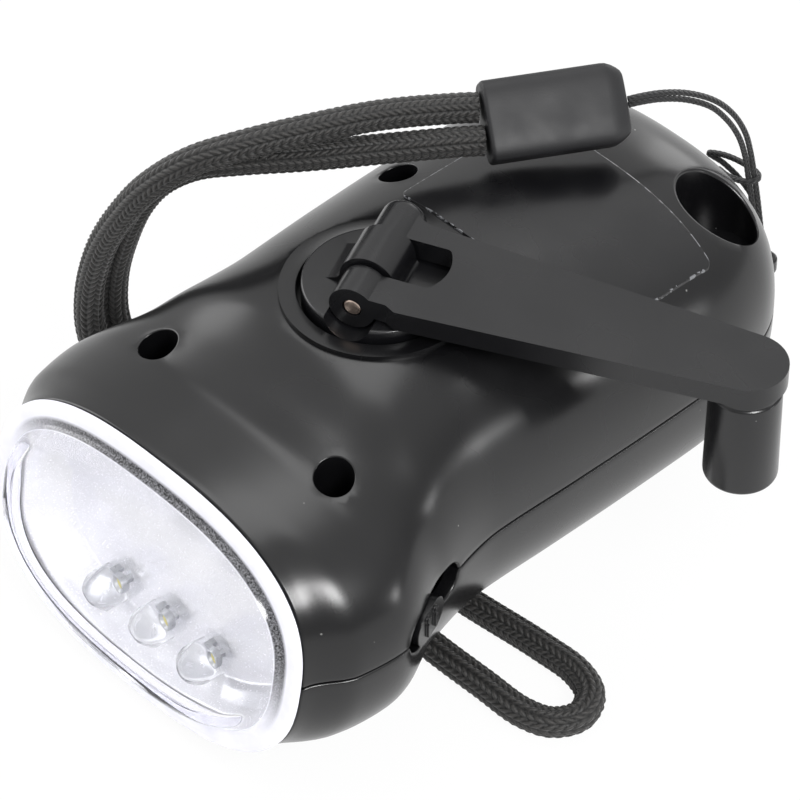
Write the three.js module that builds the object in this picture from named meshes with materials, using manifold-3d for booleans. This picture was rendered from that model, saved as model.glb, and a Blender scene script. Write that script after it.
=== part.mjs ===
// A hand crank flashlight: a waisted black housing in two halves, a leaning clear lens cover at the front
// with three lamps behind it, a folding crank on a turntable on top, a slide switch on the right side,
// the step-up gear train and generator inside, and a braided wrist cord that runs under the waist.
//
// Millimetres, +Z up, the lens towards -Y, the switch towards +X. While it is built, the crank's axis is
// X = Y = 0 and the ground is Z = 0. At the end the whole is moved so that the origin is the middle of the
// rear resting pad.

import * as THREE from 'three';
import { mergeVertices } from 'three/addons/utils/BufferGeometryUtils.js';
import Module from 'manifold-3d';

const wasm = await Module();
wasm.setup();

// Driving dimensions

const fit = { seat: 0.3, slide: 0.15, press: 0.08, overrun: 3, far: 120 };

const shell = {
  length: 89.3, // rim to tail along the parting line
  bulgeHalfWidth: 29.3,
  humpHeight: 21.3, // parting line to the crest
  partingHeight: 19,
  bellyDepth: 20, // parting line to the keel, before the pads are cut flat
  wall: 1.8,
  partingGap: 0.2,
  crankFromRim: 36.07,
  tailLength: 18,
  rimLean: 9.7, // degrees
  leanFade: 15,
};
const shellPower = 2.6;
const tailPower = 2.7;

// Half width, height above and depth below the parting line: [share of the length, share of the size]
const widthShares = [[0, 0.87], [0.067, 0.973], [0.134, 1], [0.246, 0.863], [0.37, 0.795], [0.504, 0.812],
  [0.638, 0.826], [0.761, 0.831], [0.873, 0.792], [1, 0.768]];
const heightShares = [[0, 0.742], [0.134, 0.746], [0.202, 0.826], [0.28, 0.948], [0.347, 0.986], [0.414, 1],
  [0.56, 0.986], [0.694, 0.958], [0.829, 0.911], [1, 0.868]];
const depthShares = [[0, 0.85], [0.045, 0.915], [0.1, 0.985], [0.17, 1], [1, 1]];

const arch = { centre: -6, flatHalf: 7, half: 12, height: 4.4 }; // the cord's way under the waist
const pad = { centre: 27 }; // middle of the rear pad, behind the crank's axis

const ring = { radius: 11.3, depth: 1.6 }; // the shallow recess round the turntable
const table = { radius: 8.9, thickness: 1.7, poolRadius: 9.4, plate: 1.8, shaftRadius: 2 };
const bush = { radius: 3, collarRadius: 3.9, collar: 1.4 };

const arm = {
  azimuth: 24, // degrees, at rest
  radius: 44.5, // crank axis to knob axis
  thickness: 2.7, rise: 1.95, // pin to the top face
  rootHalfWidth: 7.5, tipHalfWidth: 4.65,
  shoulder: 5, farShoulder: 6.4, farRoot: 2.2, windowEnd: 8.15, windowBow: 0.85,
};
const pin = { radius: 1.1, setback: 0.5, lift: 3.4, inset: 0.1 }; // lift above the turntable's face
const lug = { radius: 3.3, offset: 1.05, halfWidth: 3.1, frontFoot: 3.9, rearFoot: 6.2, flankShare: 0.45 };
const ear = { radius: 2.8, near: 6.75, far: 10.1, gap: 0.35 };
const knob = { topRadius: 4.15, bottomRadius: 4.35, length: 14.05, chamfer: 0.5, bore: 2.2, studRadius: 2,
  counterbore: 3.1, counterboreDepth: 5 };
const stow = { azimuth: 72.3, radius: 4.9, play: 0.8 }; // the recess that the knob drops into

const screw = { headRadius: 2.1, head: 1.4, shankRadius: 1.15, shank: 8, bore: 2.3, boss: 3.4, ledge: 1.6 };
const screwPlaces = { frontX: 14.75, frontY: -20.9, rearX: 14.2, rearShare: 0.3156 };
const tack = { headRadius: 2.7, head: 1.2, shankRadius: 0.8, shank: 4 }; // the small screws of the crank

const coarse = { module: 0.6, wheelTeeth: 40, pinionTeeth: 12 };
const fine = { module: 0.5, firstWheelTeeth: 36, secondWheelTeeth: 32, pinionTeeth: 12 };
const gear = { width: 2, levelGap: 1, backlash: 0.16, axle: 0.75, hub: 2.1, bore: 0.85 };
const addendumShare = 0.9;
const dedendumShare = 1.2;
const pressureAngle = 25;
const straightFlankTeeth = 24;
const trainAngles = { first: -90, second: 148.3, rotor: 21.9 }; // degrees, from one axle to the next
const rack = { thickness: 1.6, drop: 1.2, rim: 3.4, leg: 1.8, legFrontY: -21.8, legSideX: 13.6, legSideY: 2 };

const generator = { radius: 11.5, headroom: 1, plate: 0.8, clawInner: 7, clawThickness: 0.8, bobbinWall: 0.7,
  flange: 1, coilInset: 0.5, rotorRadius: 6.2, rotorInset: 2.8, windingGap: 0.2 };
const clawCount = 4;
const clawShare = 0.5; // share of its sector that a claw fills
const clawReachShare = 0.7; // share of the generator's height that a claw reaches

const lens = { flange: 1.2, dome: 5.2, wall: 1.2, spring: 2.7, shoulder: 4.1, bendInset: 7.8, crownInset: 12.3,
  edge: 0.4 };
const reflector = { inset: 2.1, lip: 1.1, depth: 5, wall: 1.2, floorInset: 7, middleInset: 5.65, upperFloorInset: 15,
  upperMiddleInset: 8.4, middleDepthShare: 0.72 };
const lowerInsetShare = 0.6; // how much less the reflector draws in below than above
const led = { radius: 2.5, tip: 1, body: 7.6, flangeRadius: 2.9, flange: 1, pitch: 8.1, drop: 9.1, hole: 2.75 };
const board = { halfWidth: 14, top: -3.5, bottom: -13.6, thickness: 1.2 };

const slot = { x: 26.53, y: -16.9, length: 13, height: 4.8, turn: 20.46 }; // turn in degrees
const slider = { length: 5.8, height: 4.1, proud: 0.9, ridge: 0.5, ridgeWidth: 0.9, ridgeHalfHeight: 1.37,
  baseLength: 10, base: 1, baseHeight: 6.4, front: 1.5 };
const switchBody = { length: 13.5, depth: 4, height: 7 };

const cell = { radius: 5.8, length: 5.4, placeShare: 0.479 };
const cellCount = 3;
const sleeve = { wall: 0.5, overhang: 0.6 };
const circuit = { halfWidth: 9.5, front: 10, rearShare: 0.695, thickness: 1.2 };

const label = { left: -10, right: 19.6, fromRing: 1.7, rearShare: 0.667, corner: 1, lift: 0.06, thickness: 0.2 };
const bail = { x: 10.4, halfWidth: 2.6, proud: 3.37, rootInset: 4.23, drop: 4.6, thickness: 2.2, hole: 1.2 };

const bead = { x: -3.2, rearShare: 0.5974, lift: 4.6, halfLength: 8.6, halfWidth: 4.95, halfThickness: 2.6, soft: 0.8,
  azimuth: 58.87, tilt: 40 };
const beadPower = 4;
const cord = { diameter: 3.75, sides: 8 };
const thread = { diameter: 1.5, sides: 8 };
const drawn = { crown: 40.3, rearReach: 53.23, floor: 1.9 }; // the housing that the cords' routes were laid over

// Colours and finishes

const finish = (color, roughness, metalness = 0) => new THREE.MeshStandardMaterial({ color, roughness, metalness });
const housingPlastic = () => finish(0x17181a, 0.45);
const crankPlastic = () => finish(0x1c1d1f, 0.5);
const clearPlastic = () => new THREE.MeshStandardMaterial({ color: 0xeef1f5, roughness: 0.08, transparent: true,
  opacity: 0.35 });
const mirrorFilm = () => finish(0xd9dade, 0.2, 0.9);
const steel = () => finish(0xb8a99f, 0.3, 1);
const zincSteel = () => finish(0xa9abad, 0.4, 1);
const acetal = () => finish(0xe6e3da, 0.5);
const copper = () => finish(0xb4622f, 0.35, 1);
const ferrite = () => finish(0x34353a, 0.6);
const circuitGreen = () => finish(0x1f5a36, 0.5);
const nickel = () => finish(0xc2c3c5, 0.3, 1);
const shrinkFilm = () => finish(0x2a4f8f, 0.4);
const braid = () => finish(0x141416, 0.85);
const rubber = () => finish(0x1b1c1e, 0.7);
const blackFilm = () => finish(0x101113, 0.25);

// Solids, joins and cuts

const TURN = Math.PI * 2;
const radians = (degrees) => THREE.MathUtils.degToRad(degrees);

// A closed geometry as a solid: shared corners are merged and collapsed triangles dropped.
function solid(geometry) {
  if (geometry instanceof wasm.Manifold) return geometry;
  const bare = new THREE.BufferGeometry();
  bare.setAttribute('position', geometry.getAttribute('position').clone());
  if (geometry.index) bare.setIndex(geometry.index.clone());
  const merged = mergeVertices(bare);
  const corners = merged.index.array;
  const kept = [];
  for (let i = 0; i < corners.length; i += 3) {
    const [a, b, c] = [corners[i], corners[i + 1], corners[i + 2]];
    if (a !== b && b !== c && c !== a) kept.push(a, b, c);
  }
  return new wasm.Manifold(new wasm.Mesh({
    numProp: 3,
    vertProperties: new Float32Array(merged.getAttribute('position').array),
    triVerts: new Uint32Array(kept),
  }));
}
const join = (...parts) => parts.map(solid).reduce((sum, part) => sum.add(part));
const cut = (base, ...tools) => tools.map(solid).reduce((left, tool) => left.subtract(tool), solid(base));
const common = (first, second) => solid(first).intersect(solid(second));

function surface(part) {
  const mesh = solid(part).getMesh();
  const geometry = new THREE.BufferGeometry();
  const step = mesh.numProp;
  const count = mesh.vertProperties.length / step;
  const positions = new Float32Array(count * 3);
  for (let i = 0; i < count; i += 1) {
    for (let k = 0; k < 3; k += 1) positions[i * 3 + k] = mesh.vertProperties[i * step + k];
  }
  geometry.setAttribute('position', new THREE.BufferAttribute(positions, 3));
  geometry.setIndex(new THREE.BufferAttribute(new Uint32Array(mesh.triVerts), 1));
  const flat = geometry.toNonIndexed();
  flat.computeVertexNormals();
  return flat;
}
function piece(parent, name, part, material) {
  const mesh = new THREE.Mesh(surface(part), material);
  mesh.name = name;
  parent.add(mesh);
  return mesh;
}

// Basic forms

const circle = (radius, count, x = 0, y = 0) => Array.from({ length: count }, (_, i) => {
  const angle = (TURN * i) / count;
  return new THREE.Vector2(x + radius * Math.cos(angle), y + radius * Math.sin(angle));
});
function polygon(outline, ...holes) {
  const shape = new THREE.Shape(outline);
  shape.holes = holes.map((points) => new THREE.Path(points));
  return shape;
}
const slab = (shape, bottom, top) => new THREE.ExtrudeGeometry(shape, { depth: top - bottom, bevelEnabled: false })
  .translate(0, 0, bottom);
const box = (x0, x1, y0, y1, z0, z1) => new THREE.BoxGeometry(x1 - x0, y1 - y0, z1 - z0)
  .translate((x0 + x1) / 2, (y0 + y1) / 2, (z0 + z1) / 2);
const rod = (radius, bottom, top, x = 0, y = 0, sides = 24) => slab(polygon(circle(radius, sides)), bottom, top)
  .translate(x, y, 0);
const tube = (outer, inner, bottom, top, sides = 24) => slab(polygon(circle(outer, sides), circle(inner, sides)),
  bottom, top);
// A profile of [radius, height] pairs, turned about Z. It runs up the outside.
const turned = (profile, sides = 24) => new THREE.LatheGeometry(profile.map(([r, z]) => new THREE.Vector2(r, z)), sides)
  .rotateX(Math.PI / 2);
const alongX = (geometry) => geometry.rotateZ(Math.PI / 2).rotateY(Math.PI / 2);
const alongY = (geometry) => geometry.rotateX(-Math.PI / 2);
// A shape drawn in Y and Z, pushed out along X.
function slabAlongX(shape, left, right) {
  const turn = new THREE.Matrix4().makeBasis(new THREE.Vector3(0, 1, 0), new THREE.Vector3(0, 0, 1),
    new THREE.Vector3(1, 0, 0));
  return slab(shape, left, right).applyMatrix4(turn);
}
// A rectangle with round corners, from its middle.
function roundedRectangle(halfLength, halfWidth, corner, x = 0, y = 0, steps = 5) {
  const points = [];
  [[1, -1], [1, 1], [-1, 1], [-1, -1]].forEach(([sx, sy], quarter) => {
    for (let i = 0; i <= steps; i += 1) {
      const angle = (TURN * (quarter - 1 + i / steps)) / 4;
      points.push(new THREE.Vector2(x + sx * (halfLength - corner) + corner * Math.cos(angle),
        y + sy * (halfWidth - corner) + corner * Math.sin(angle)));
    }
  });
  return points;
}
// Closed skin over rings that all have the same count of points; the ends close on a point each.
function skin(rings, start, end) {
  const count = rings[0].length;
  const points = [start, ...rings.flat(), end];
  const corners = [];
  for (let i = 0; i < count; i += 1) {
    const next = (i + 1) % count;
    corners.push(0, 1 + next, 1 + i);
    for (let k = 0; k + 1 < rings.length; k += 1) {
      const here = 1 + k * count;
      const there = here + count;
      corners.push(here + i, here + next, there + next, here + i, there + next, there + i);
    }
    const last = 1 + (rings.length - 1) * count;
    corners.push(last + i, last + next, points.length - 1);
  }
  const geometry = new THREE.BufferGeometry().setFromPoints(points);
  geometry.setIndex(corners);
  return geometry;
}
// The straight-sided outline round a set of circles.
function hull(circles, count = 16) {
  const points = circles.flatMap(([x, y, radius]) => circle(radius, count, x, y))
    .sort((a, b) => a.x - b.x || a.y - b.y);
  const turnsLeft = (a, b, c) => (b.x - a.x) * (c.y - a.y) - (b.y - a.y) * (c.x - a.x) > 0;
  const chain = (list) => list.reduce((kept, point) => {
    while (kept.length > 1 && !turnsLeft(kept.at(-2), kept.at(-1), point)) kept.pop();
    kept.push(point);
    return kept;
  }, []);
  return [...chain(points).slice(0, -1), ...chain([...points].reverse()).slice(0, -1)];
}

// The housing's shape

// A smooth line through a table of shares that never overshoots its points (Fritsch and Carlson's slopes).
function smooth(table, t) {
  const gap = (i) => table[i + 1][0] - table[i][0];
  const rise = (i) => (table[i + 1][1] - table[i][1]) / gap(i);
  const slope = (i) => {
    if (i === 0 || i === table.length - 1) return 0;
    const [before, after] = [rise(i - 1), rise(i)];
    if (before * after <= 0) return 0;
    const [w1, w2] = [2 * gap(i) + gap(i - 1), gap(i) + 2 * gap(i - 1)];
    return (w1 + w2) / (w1 / before + w2 / after);
  };
  const clamped = THREE.MathUtils.clamp(t, table[0][0], table.at(-1)[0]);
  const found = table.findIndex((row) => row[0] >= clamped);
  const i = Math.max(0, found - 1);
  const s = (clamped - table[i][0]) / gap(i);
  const [a, b] = [table[i][1], table[i + 1][1]];
  const ease = s * s * (3 - 2 * s);
  return a + (b - a) * ease + gap(i) * ((s ** 3 - 2 * s * s + s) * slope(i) + (s ** 3 - s * s) * slope(i + 1));
}
const lean = Math.tan(radians(shell.rimLean));

// One ring of the housing at a distance behind the rim, drawn in by an inset (or out, where it is negative).
function housingRing(distance, inset, count) {
  const share = distance / shell.length;
  const tailStart = shell.length - shell.tailLength;
  const along = THREE.MathUtils.clamp((distance - tailStart) / (shell.tailLength - inset), 0, 1);
  const close = (1 - along ** tailPower) ** (1 / tailPower);
  const halfWidth = (shell.bulgeHalfWidth * smooth(widthShares, share) - inset) * close;
  const height = (shell.humpHeight * smooth(heightShares, share) - inset) * close;
  const depth = (shell.bellyDepth * smooth(depthShares, share) - inset) * close;
  const tilt = lean * Math.max(0, 1 - Math.max(0, distance) / shell.leanFade);
  return Array.from({ length: count }, (_, i) => {
    const [c, s] = [Math.cos((TURN * i) / count), -Math.sin((TURN * i) / count)];
    const size = (Math.abs(c) ** shellPower + Math.abs(s) ** shellPower) ** (-1 / shellPower);
    const z = (s > 0 ? height : depth) * s * size;
    return new THREE.Vector3(halfWidth * c * size, distance - shell.crankFromRim + tilt * z, shell.partingHeight + z);
  });
}
// The whole outer or inner form. It starts at the rim plane, or ahead of it by an overrun.
function housingForm(inset, overrun, stations, tailStations, count) {
  const tailStart = shell.length - shell.tailLength;
  const rings = [];
  if (overrun > 0) rings.push(housingRing(-overrun, inset, count));
  for (let i = 0; i <= stations; i += 1) rings.push(housingRing((tailStart * i) / stations, inset, count));
  for (let i = 1; i < tailStations; i += 1) {
    const reach = Math.sin((TURN * i) / (4 * tailStations));
    rings.push(housingRing(tailStart + (shell.tailLength - inset) * reach, inset, count));
  }
  const front = new THREE.Vector3(0, -shell.crankFromRim - overrun, shell.partingHeight);
  const tail = new THREE.Vector3(0, shell.length - inset - shell.crankFromRim, shell.partingHeight);
  return solid(skin(rings, front, tail));
}
// The ground under the housing, with the arch of the waist standing up in it.
function groundForm(lift) {
  const rise = (y) => {
    const reach = Math.abs(y - arch.centre);
    const s = THREE.MathUtils.clamp((arch.half - reach) / (arch.half - arch.flatHalf), 0, 1);
    return arch.height * s * s * (3 - 2 * s);
  };
  const steps = 6;
  const points = [new THREE.Vector2(-fit.far, -fit.far), new THREE.Vector2(fit.far, -fit.far),
    new THREE.Vector2(fit.far, lift)];
  for (const side of [1, -1]) {
    for (let i = 0; i <= steps; i += 1) {
      const along = side > 0 ? i / steps : 1 - i / steps;
      const y = arch.centre + side * (arch.half + (arch.flatHalf - arch.half) * along);
      points.push(new THREE.Vector2(y, lift + rise(y)));
    }
  }
  points.push(new THREE.Vector2(-fit.far, lift));
  return slabAlongX(polygon(points), -fit.far, fit.far);
}
const outerForm = cut(housingForm(0, 0, 16, 7, 32), groundForm(0));
const innerForm = cut(housingForm(shell.wall, fit.overrun, 11, 4, 20), groundForm(shell.wall));

// Heights that follow from one another, top down

const seatTop = shell.partingHeight + shell.partingGap / 2;
const seatLow = shell.partingHeight - shell.partingGap / 2;
const crown = shell.partingHeight + shell.humpHeight;
const rearReach = shell.length - shell.crankFromRim;
const ringFloor = crown - ring.depth;
const pinHeight = ringFloor + pin.lift;
const armTop = pinHeight + arm.rise;
const armUnder = armTop - arm.thickness;
const knobTop = armUnder - fit.seat;
const knobBottom = knobTop - knob.length;
const knobLedge = knobBottom + knob.counterboreDepth;
const stowFloor = knobBottom - stow.play;
const tableUnder = ringFloor - table.thickness;
const poolFloor = tableUnder - fit.seat;
const plateUnder = poolFloor - table.plate;
const collarTop = plateUnder - fit.seat;
const driveTop = collarTop - bush.collar - fit.seat;
const driveUnder = driveTop - gear.width;
const middleTop = driveUnder - gear.levelGap;
const middleUnder = middleTop - gear.width;
const lowTop = middleUnder - gear.levelGap;
const lowUnder = lowTop - gear.width;
const rackTop = lowUnder - rack.drop;
const rackUnder = rackTop - rack.thickness;
const shaftEnd = driveUnder + fit.seat;
const archFloor = arch.height + shell.wall;
const headSeat = seatTop + screw.ledge;

const screws = [
  ['shell_screw_1', -screwPlaces.frontX, screwPlaces.frontY],
  ['shell_screw_2', screwPlaces.frontX, screwPlaces.frontY],
  ['shell_screw_3', -screwPlaces.rearX, screwPlaces.rearShare * rearReach],
  ['shell_screw_4', screwPlaces.rearX, screwPlaces.rearShare * rearReach],
];
const stowX = arm.radius * Math.cos(radians(stow.azimuth));
const stowY = arm.radius * Math.sin(radians(stow.azimuth));

const flashlight = new THREE.Group();
flashlight.position.y = -pad.centre;

// Housing halves

// The switch's slot, cut square to the side wall where the switch sits.
const slotCut = () => alongX(slab(polygon(roundedRectangle(slot.length / 2, slot.height / 2, slot.height / 2)),
  -slider.base - fit.overrun, fit.overrun)).rotateZ(radians(slot.turn)).translate(slot.x, slot.y, shell.partingHeight);

function upperShell() {
  const above = box(-fit.far, fit.far, -fit.far, fit.far, seatTop, fit.far);
  const bosses = screws.map(([, x, y]) => rod(screw.boss, seatTop, fit.far, x, y, 16));
  const well = rod(table.poolRadius + shell.wall, plateUnder, fit.far, 0, 0, 24);
  const cup = rod(stow.radius + shell.wall, stowFloor - shell.wall, fit.far, stowX, stowY, 20);
  const grown = join(cut(outerForm, innerForm), common(join(...bosses, well, cup), outerForm));
  const bores = screws.flatMap(([, x, y]) => [
    rod(screw.bore, headSeat, fit.far, x, y, 16),
    rod(screw.shankRadius + fit.slide, seatTop - fit.overrun, headSeat + fit.overrun, x, y, 8),
  ]);
  return cut(common(grown, above), ...bores,
    rod(ring.radius, ringFloor, fit.far, 0, 0, 40),
    rod(table.poolRadius, poolFloor, fit.far, 0, 0, 36),
    rod(bush.radius + fit.press, plateUnder - fit.overrun, fit.far, 0, 0, 16),
    rod(stow.radius, stowFloor, fit.far, stowX, stowY, 24),
    slotCut());
}
function lowerShell() {
  const below = box(-fit.far, fit.far, -fit.far, fit.far, -fit.far, seatLow);
  const pillars = screws.map(([, x, y]) => rod(screw.boss, 0, fit.far, x, y, 16));
  const pilots = screws.map(([, x, y]) => rod(screw.shankRadius + fit.press,
    headSeat - screw.shank - fit.overrun, fit.far, x, y, 8));
  const halfOf = common(join(cut(outerForm, innerForm), common(join(...pillars), outerForm)), below);
  const [root, reach] = [rearReach - bail.rootInset, rearReach + bail.proud];
  const bottom = shell.partingHeight - bail.drop;
  const ledge = slab(polygon(roundedRectangle((reach - root) / 2, bail.halfWidth, bail.halfWidth / 2)),
    bottom, bottom + bail.thickness).rotateZ(Math.PI / 2).translate(bail.x, (reach + root) / 2, 0);
  const eye = rod(bail.hole, 0, fit.far, bail.x, reach - bail.thickness, 12);
  return cut(join(halfOf, cut(ledge, innerForm, eye)), ...pilots, slotCut());
}
piece(flashlight, 'upper_shell', upperShell(), housingPlastic());
piece(flashlight, 'lower_shell', lowerShell(), housingPlastic());

for (const [name, x, y] of screws) {
  const under = headSeat + fit.press;
  piece(flashlight, name, turned([[0, under - screw.shank], [screw.shankRadius, under - screw.shank + screw.shankRadius],
    [screw.shankRadius, under], [screw.headRadius, under], [screw.headRadius, under + screw.head / 2],
    [screw.headRadius / 2, under + screw.head], [0, under + screw.head]], 8).translate(x, y, 0), zincSteel());
}

// The label film lies on the crown behind the crank.
function labelFilm() {
  const [front, rear] = [ring.radius + label.fromRing, label.rearShare * rearReach];
  const rim = roundedRectangle((label.right - label.left) / 2, (rear - front) / 2, label.corner,
    (label.right + label.left) / 2, (rear + front) / 2, 3);
  const prism = slab(polygon(rim), shell.partingHeight, fit.far);
  const over = housingForm(-label.lift - label.thickness, 0, 16, 7, 32);
  const under = housingForm(-label.lift, 0, 16, 7, 32);
  return common(cut(over, under), prism);
}
piece(flashlight, 'label_film', labelFilm(), blackFilm());

// Lamp: everything in front of the rim plane's back, in a frame that leans with the rim.
// In this frame -Y points out of the lens and Z runs up the rim plane.

const lamp = new THREE.Group();
lamp.position.set(0, -shell.crankFromRim, shell.partingHeight);
lamp.rotation.x = -radians(shell.rimLean);
flashlight.add(lamp);

const upright = 1 / Math.cos(radians(shell.rimLean));
const rimHalfWidth = shell.bulgeHalfWidth * widthShares[0][1];
const rimHeight = shell.humpHeight * heightShares[0][1] * upright;
const rimDepth = shell.bellyDepth * depthShares[0][1] * upright;
// The rim's outline drawn in by an inset, at a distance ahead of the rim plane.
function rimRing(inset, ahead, lowerInset = inset, upperInset = inset) {
  const count = 32;
  return Array.from({ length: count }, (_, i) => {
    const [c, s] = [Math.cos((TURN * i) / count), -Math.sin((TURN * i) / count)];
    const size = (Math.abs(c) ** shellPower + Math.abs(s) ** shellPower) ** (-1 / shellPower);
    const z = (s > 0 ? rimHeight - upperInset : rimDepth - lowerInset) * s * size;
    return new THREE.Vector3((rimHalfWidth - inset) * c * size, -ahead, z);
  });
}
function lensCover() {
  const crown = new THREE.Vector3(0, -lens.dome, 0);
  const inside = new THREE.Vector3(0, -lens.dome + lens.wall, 0);
  const face = lens.flange;
  const rise = lens.dome - face;
  const riseShares = [0.96, 0.86, 0.62, 0.2];
  const outer = [
    rimRing(lens.crownInset, face + rise * riseShares[0]),
    rimRing(lens.bendInset, face + rise * riseShares[1]),
    rimRing(lens.shoulder, face + rise * riseShares[2]),
    rimRing(lens.spring + lens.edge, face + rise * riseShares[3]),
    rimRing(lens.spring, face),
    rimRing(lens.edge, face),
    rimRing(0, face - lens.edge),
    rimRing(0, fit.seat),
  ];
  const inner = [
    rimRing(lens.spring, fit.seat),
    rimRing(lens.spring + lens.edge + lens.wall, fit.seat + rise * riseShares[3]),
    rimRing(lens.shoulder + lens.wall, face + rise * riseShares[2] - lens.wall),
    rimRing(lens.bendInset + lens.edge, face + rise * riseShares[1] - lens.wall),
    rimRing(lens.crownInset, face + rise * riseShares[0] - lens.wall),
  ];
  return skin([...outer, ...inner], crown, inside);
}
function reflectorBowl() {
  const ring0 = reflector.inset + reflector.lip;
  const [floor, middle] = [reflector.floorInset, reflector.middleInset];
  const [upperFloor, upperMiddle] = [reflector.upperFloorInset, reflector.upperMiddleInset];
  const middleDepth = reflector.depth * reflector.middleDepthShare;
  const low = (inset) => inset * lowerInsetShare + reflector.inset * (1 - lowerInsetShare);
  const front = [
    rimRing(floor, -reflector.depth, low(floor), upperFloor),
    rimRing(middle, -middleDepth, low(middle), upperMiddle),
    rimRing(ring0, -fit.seat, low(ring0)),
    rimRing(reflector.inset, -fit.seat),
    rimRing(reflector.inset, -fit.seat - reflector.lip),
  ];
  const back = [
    rimRing(ring0, -fit.seat - reflector.wall, low(ring0)),
    rimRing(middle, -middleDepth - reflector.wall, low(middle), upperMiddle),
    rimRing(floor, -reflector.depth - reflector.wall, low(floor), upperFloor),
  ];
  const bowl = skin([...front, ...back], new THREE.Vector3(0, reflector.depth, 0),
    new THREE.Vector3(0, reflector.depth + reflector.wall, 0));
  const holes = [-1, 0, 1].map((side) => alongY(rod(led.hole, 0, fit.far, 0, 0, 16)).translate(side * led.pitch, 0, -led.drop));
  return cut(bowl, ...holes);
}
piece(lamp, 'lens_cover', lensCover(), clearPlastic());
piece(lamp, 'reflector', reflectorBowl(), mirrorFilm());

const ledBack = led.body + led.flange - led.tip;
for (const [name, side] of [['led_left', -1], ['led_centre', 0], ['led_right', 1]]) {
  const domeSteps = 3;
  const profile = [[0, 0], [led.flangeRadius, 0], [led.flangeRadius, led.flange], [led.radius, led.flange]];
  for (let i = 0; i <= domeSteps; i += 1) {
    const angle = (TURN * i) / (4 * domeSteps);
    profile.push([led.radius * Math.cos(angle),
      led.flange + led.body - led.radius + led.radius * Math.sin(angle)]);
  }
  const lampBody = turned(profile, 16).rotateX(Math.PI / 2).translate(side * led.pitch, ledBack, -led.drop);
  piece(lamp, name, lampBody, clearPlastic());
}
piece(lamp, 'led_board', box(-board.halfWidth, board.halfWidth, ledBack + fit.seat, ledBack + fit.seat + board.thickness,
  board.bottom, board.top), circuitGreen());

// Crank: local X runs along the arm, Z up, the pin lies along local Y.

const crank = new THREE.Group();
crank.rotation.z = radians(arm.azimuth);
flashlight.add(crank);

function turntable() {
  const disc = rod(table.radius, tableUnder, ringFloor, 0, 0, 36);
  const shaft = rod(table.shaftRadius, shaftEnd, tableUnder + table.thickness / 2, 0, 0, 16);
  // The lug: a barrel round the pin on a foot whose flanks spread to the disc.
  const rise = pin.lift;
  const side = new THREE.Shape();
  side.moveTo(-lug.rearFoot, -table.thickness / 2);
  side.lineTo(lug.frontFoot, -table.thickness / 2);
  side.lineTo(lug.frontFoot, 0);
  side.quadraticCurveTo(lug.radius, rise * lug.flankShare, lug.radius, rise);
  side.absarc(0, rise, lug.radius, 0, Math.PI, false);
  side.quadraticCurveTo(-lug.radius, rise * lug.flankShare, -lug.rearFoot, 0);
  side.closePath();
  const barrel = new THREE.ExtrudeGeometry(side, { depth: 2 * lug.halfWidth, bevelEnabled: false, curveSegments: 8 })
    .translate(0, 0, -lug.halfWidth).rotateX(Math.PI / 2).translate(-pin.setback, lug.offset, ringFloor);
  const pinBore = alongY(rod(pin.radius + fit.slide, -fit.far, fit.far, 0, 0, 12)).translate(-pin.setback, 0, pinHeight);
  const tapping = rod(tack.shankRadius + fit.press, 0, shaftEnd + tack.shank + fit.seat, 0, 0, 8);
  return cut(join(disc, shaft, barrel), pinBore, tapping);
}
piece(crank, 'crank_turntable', turntable(), crankPlastic());
piece(crank, 'hinge_pin', alongY(rod(pin.radius, pin.inset - ear.near, ear.far - pin.inset, 0, 0, 12))
  .translate(-pin.setback, 0, pinHeight), steel());

function crankArm() {
  // The plate: from the shoulders it narrows straight to the round end.
  const plate = new THREE.Shape();
  const taper = Math.asin((arm.rootHalfWidth - arm.tipHalfWidth) / (arm.radius - arm.shoulder));
  const [nearInner, farInner] = [-1, 1].map((side) => lug.offset + side * (lug.halfWidth + ear.gap));
  plate.moveTo(0, -ear.near);
  plate.lineTo(arm.shoulder - ear.radius / 2, -ear.near);
  plate.lineTo(arm.shoulder, -arm.rootHalfWidth);
  plate.lineTo(arm.radius, -arm.tipHalfWidth);
  plate.absarc(arm.radius, 0, arm.tipHalfWidth, -Math.PI / 2 + taper, Math.PI / 2 - taper, false);
  plate.lineTo(arm.farShoulder, arm.rootHalfWidth);
  plate.lineTo(arm.farRoot, ear.far);
  plate.lineTo(0, ear.far);
  plate.closePath();
  const web = new THREE.ExtrudeGeometry(plate, { depth: arm.thickness, bevelEnabled: false, curveSegments: 8 })
    .translate(0, 0, armUnder);
  const eyes = alongY(rod(ear.radius, -ear.near, ear.far, 0, 0, 20)).translate(-pin.setback, 0, pinHeight);
  const window = new THREE.Shape();
  window.moveTo(-fit.far, nearInner);
  window.lineTo(arm.windowEnd - arm.windowBow, nearInner);
  window.quadraticCurveTo(arm.windowEnd + arm.windowBow, lug.offset, arm.windowEnd - arm.windowBow, farInner);
  window.lineTo(-fit.far, farInner);
  window.closePath();
  const opening = new THREE.ExtrudeGeometry(window, { depth: fit.far, bevelEnabled: false, curveSegments: 8 });
  const stud = rod(knob.studRadius, knobLedge + fit.seat, armUnder + arm.thickness / 2, arm.radius, 0, 16);
  const pinBore = alongY(rod(pin.radius + fit.press, -fit.far, fit.far, 0, 0, 12)).translate(-pin.setback, 0, pinHeight);
  const tapping = rod(tack.shankRadius + fit.press, 0, knobLedge + tack.shank + fit.seat, arm.radius, 0, 8);
  return cut(join(web, eyes, stud), opening, pinBore, tapping);
}
piece(crank, 'crank_arm', crankArm(), crankPlastic());
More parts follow.
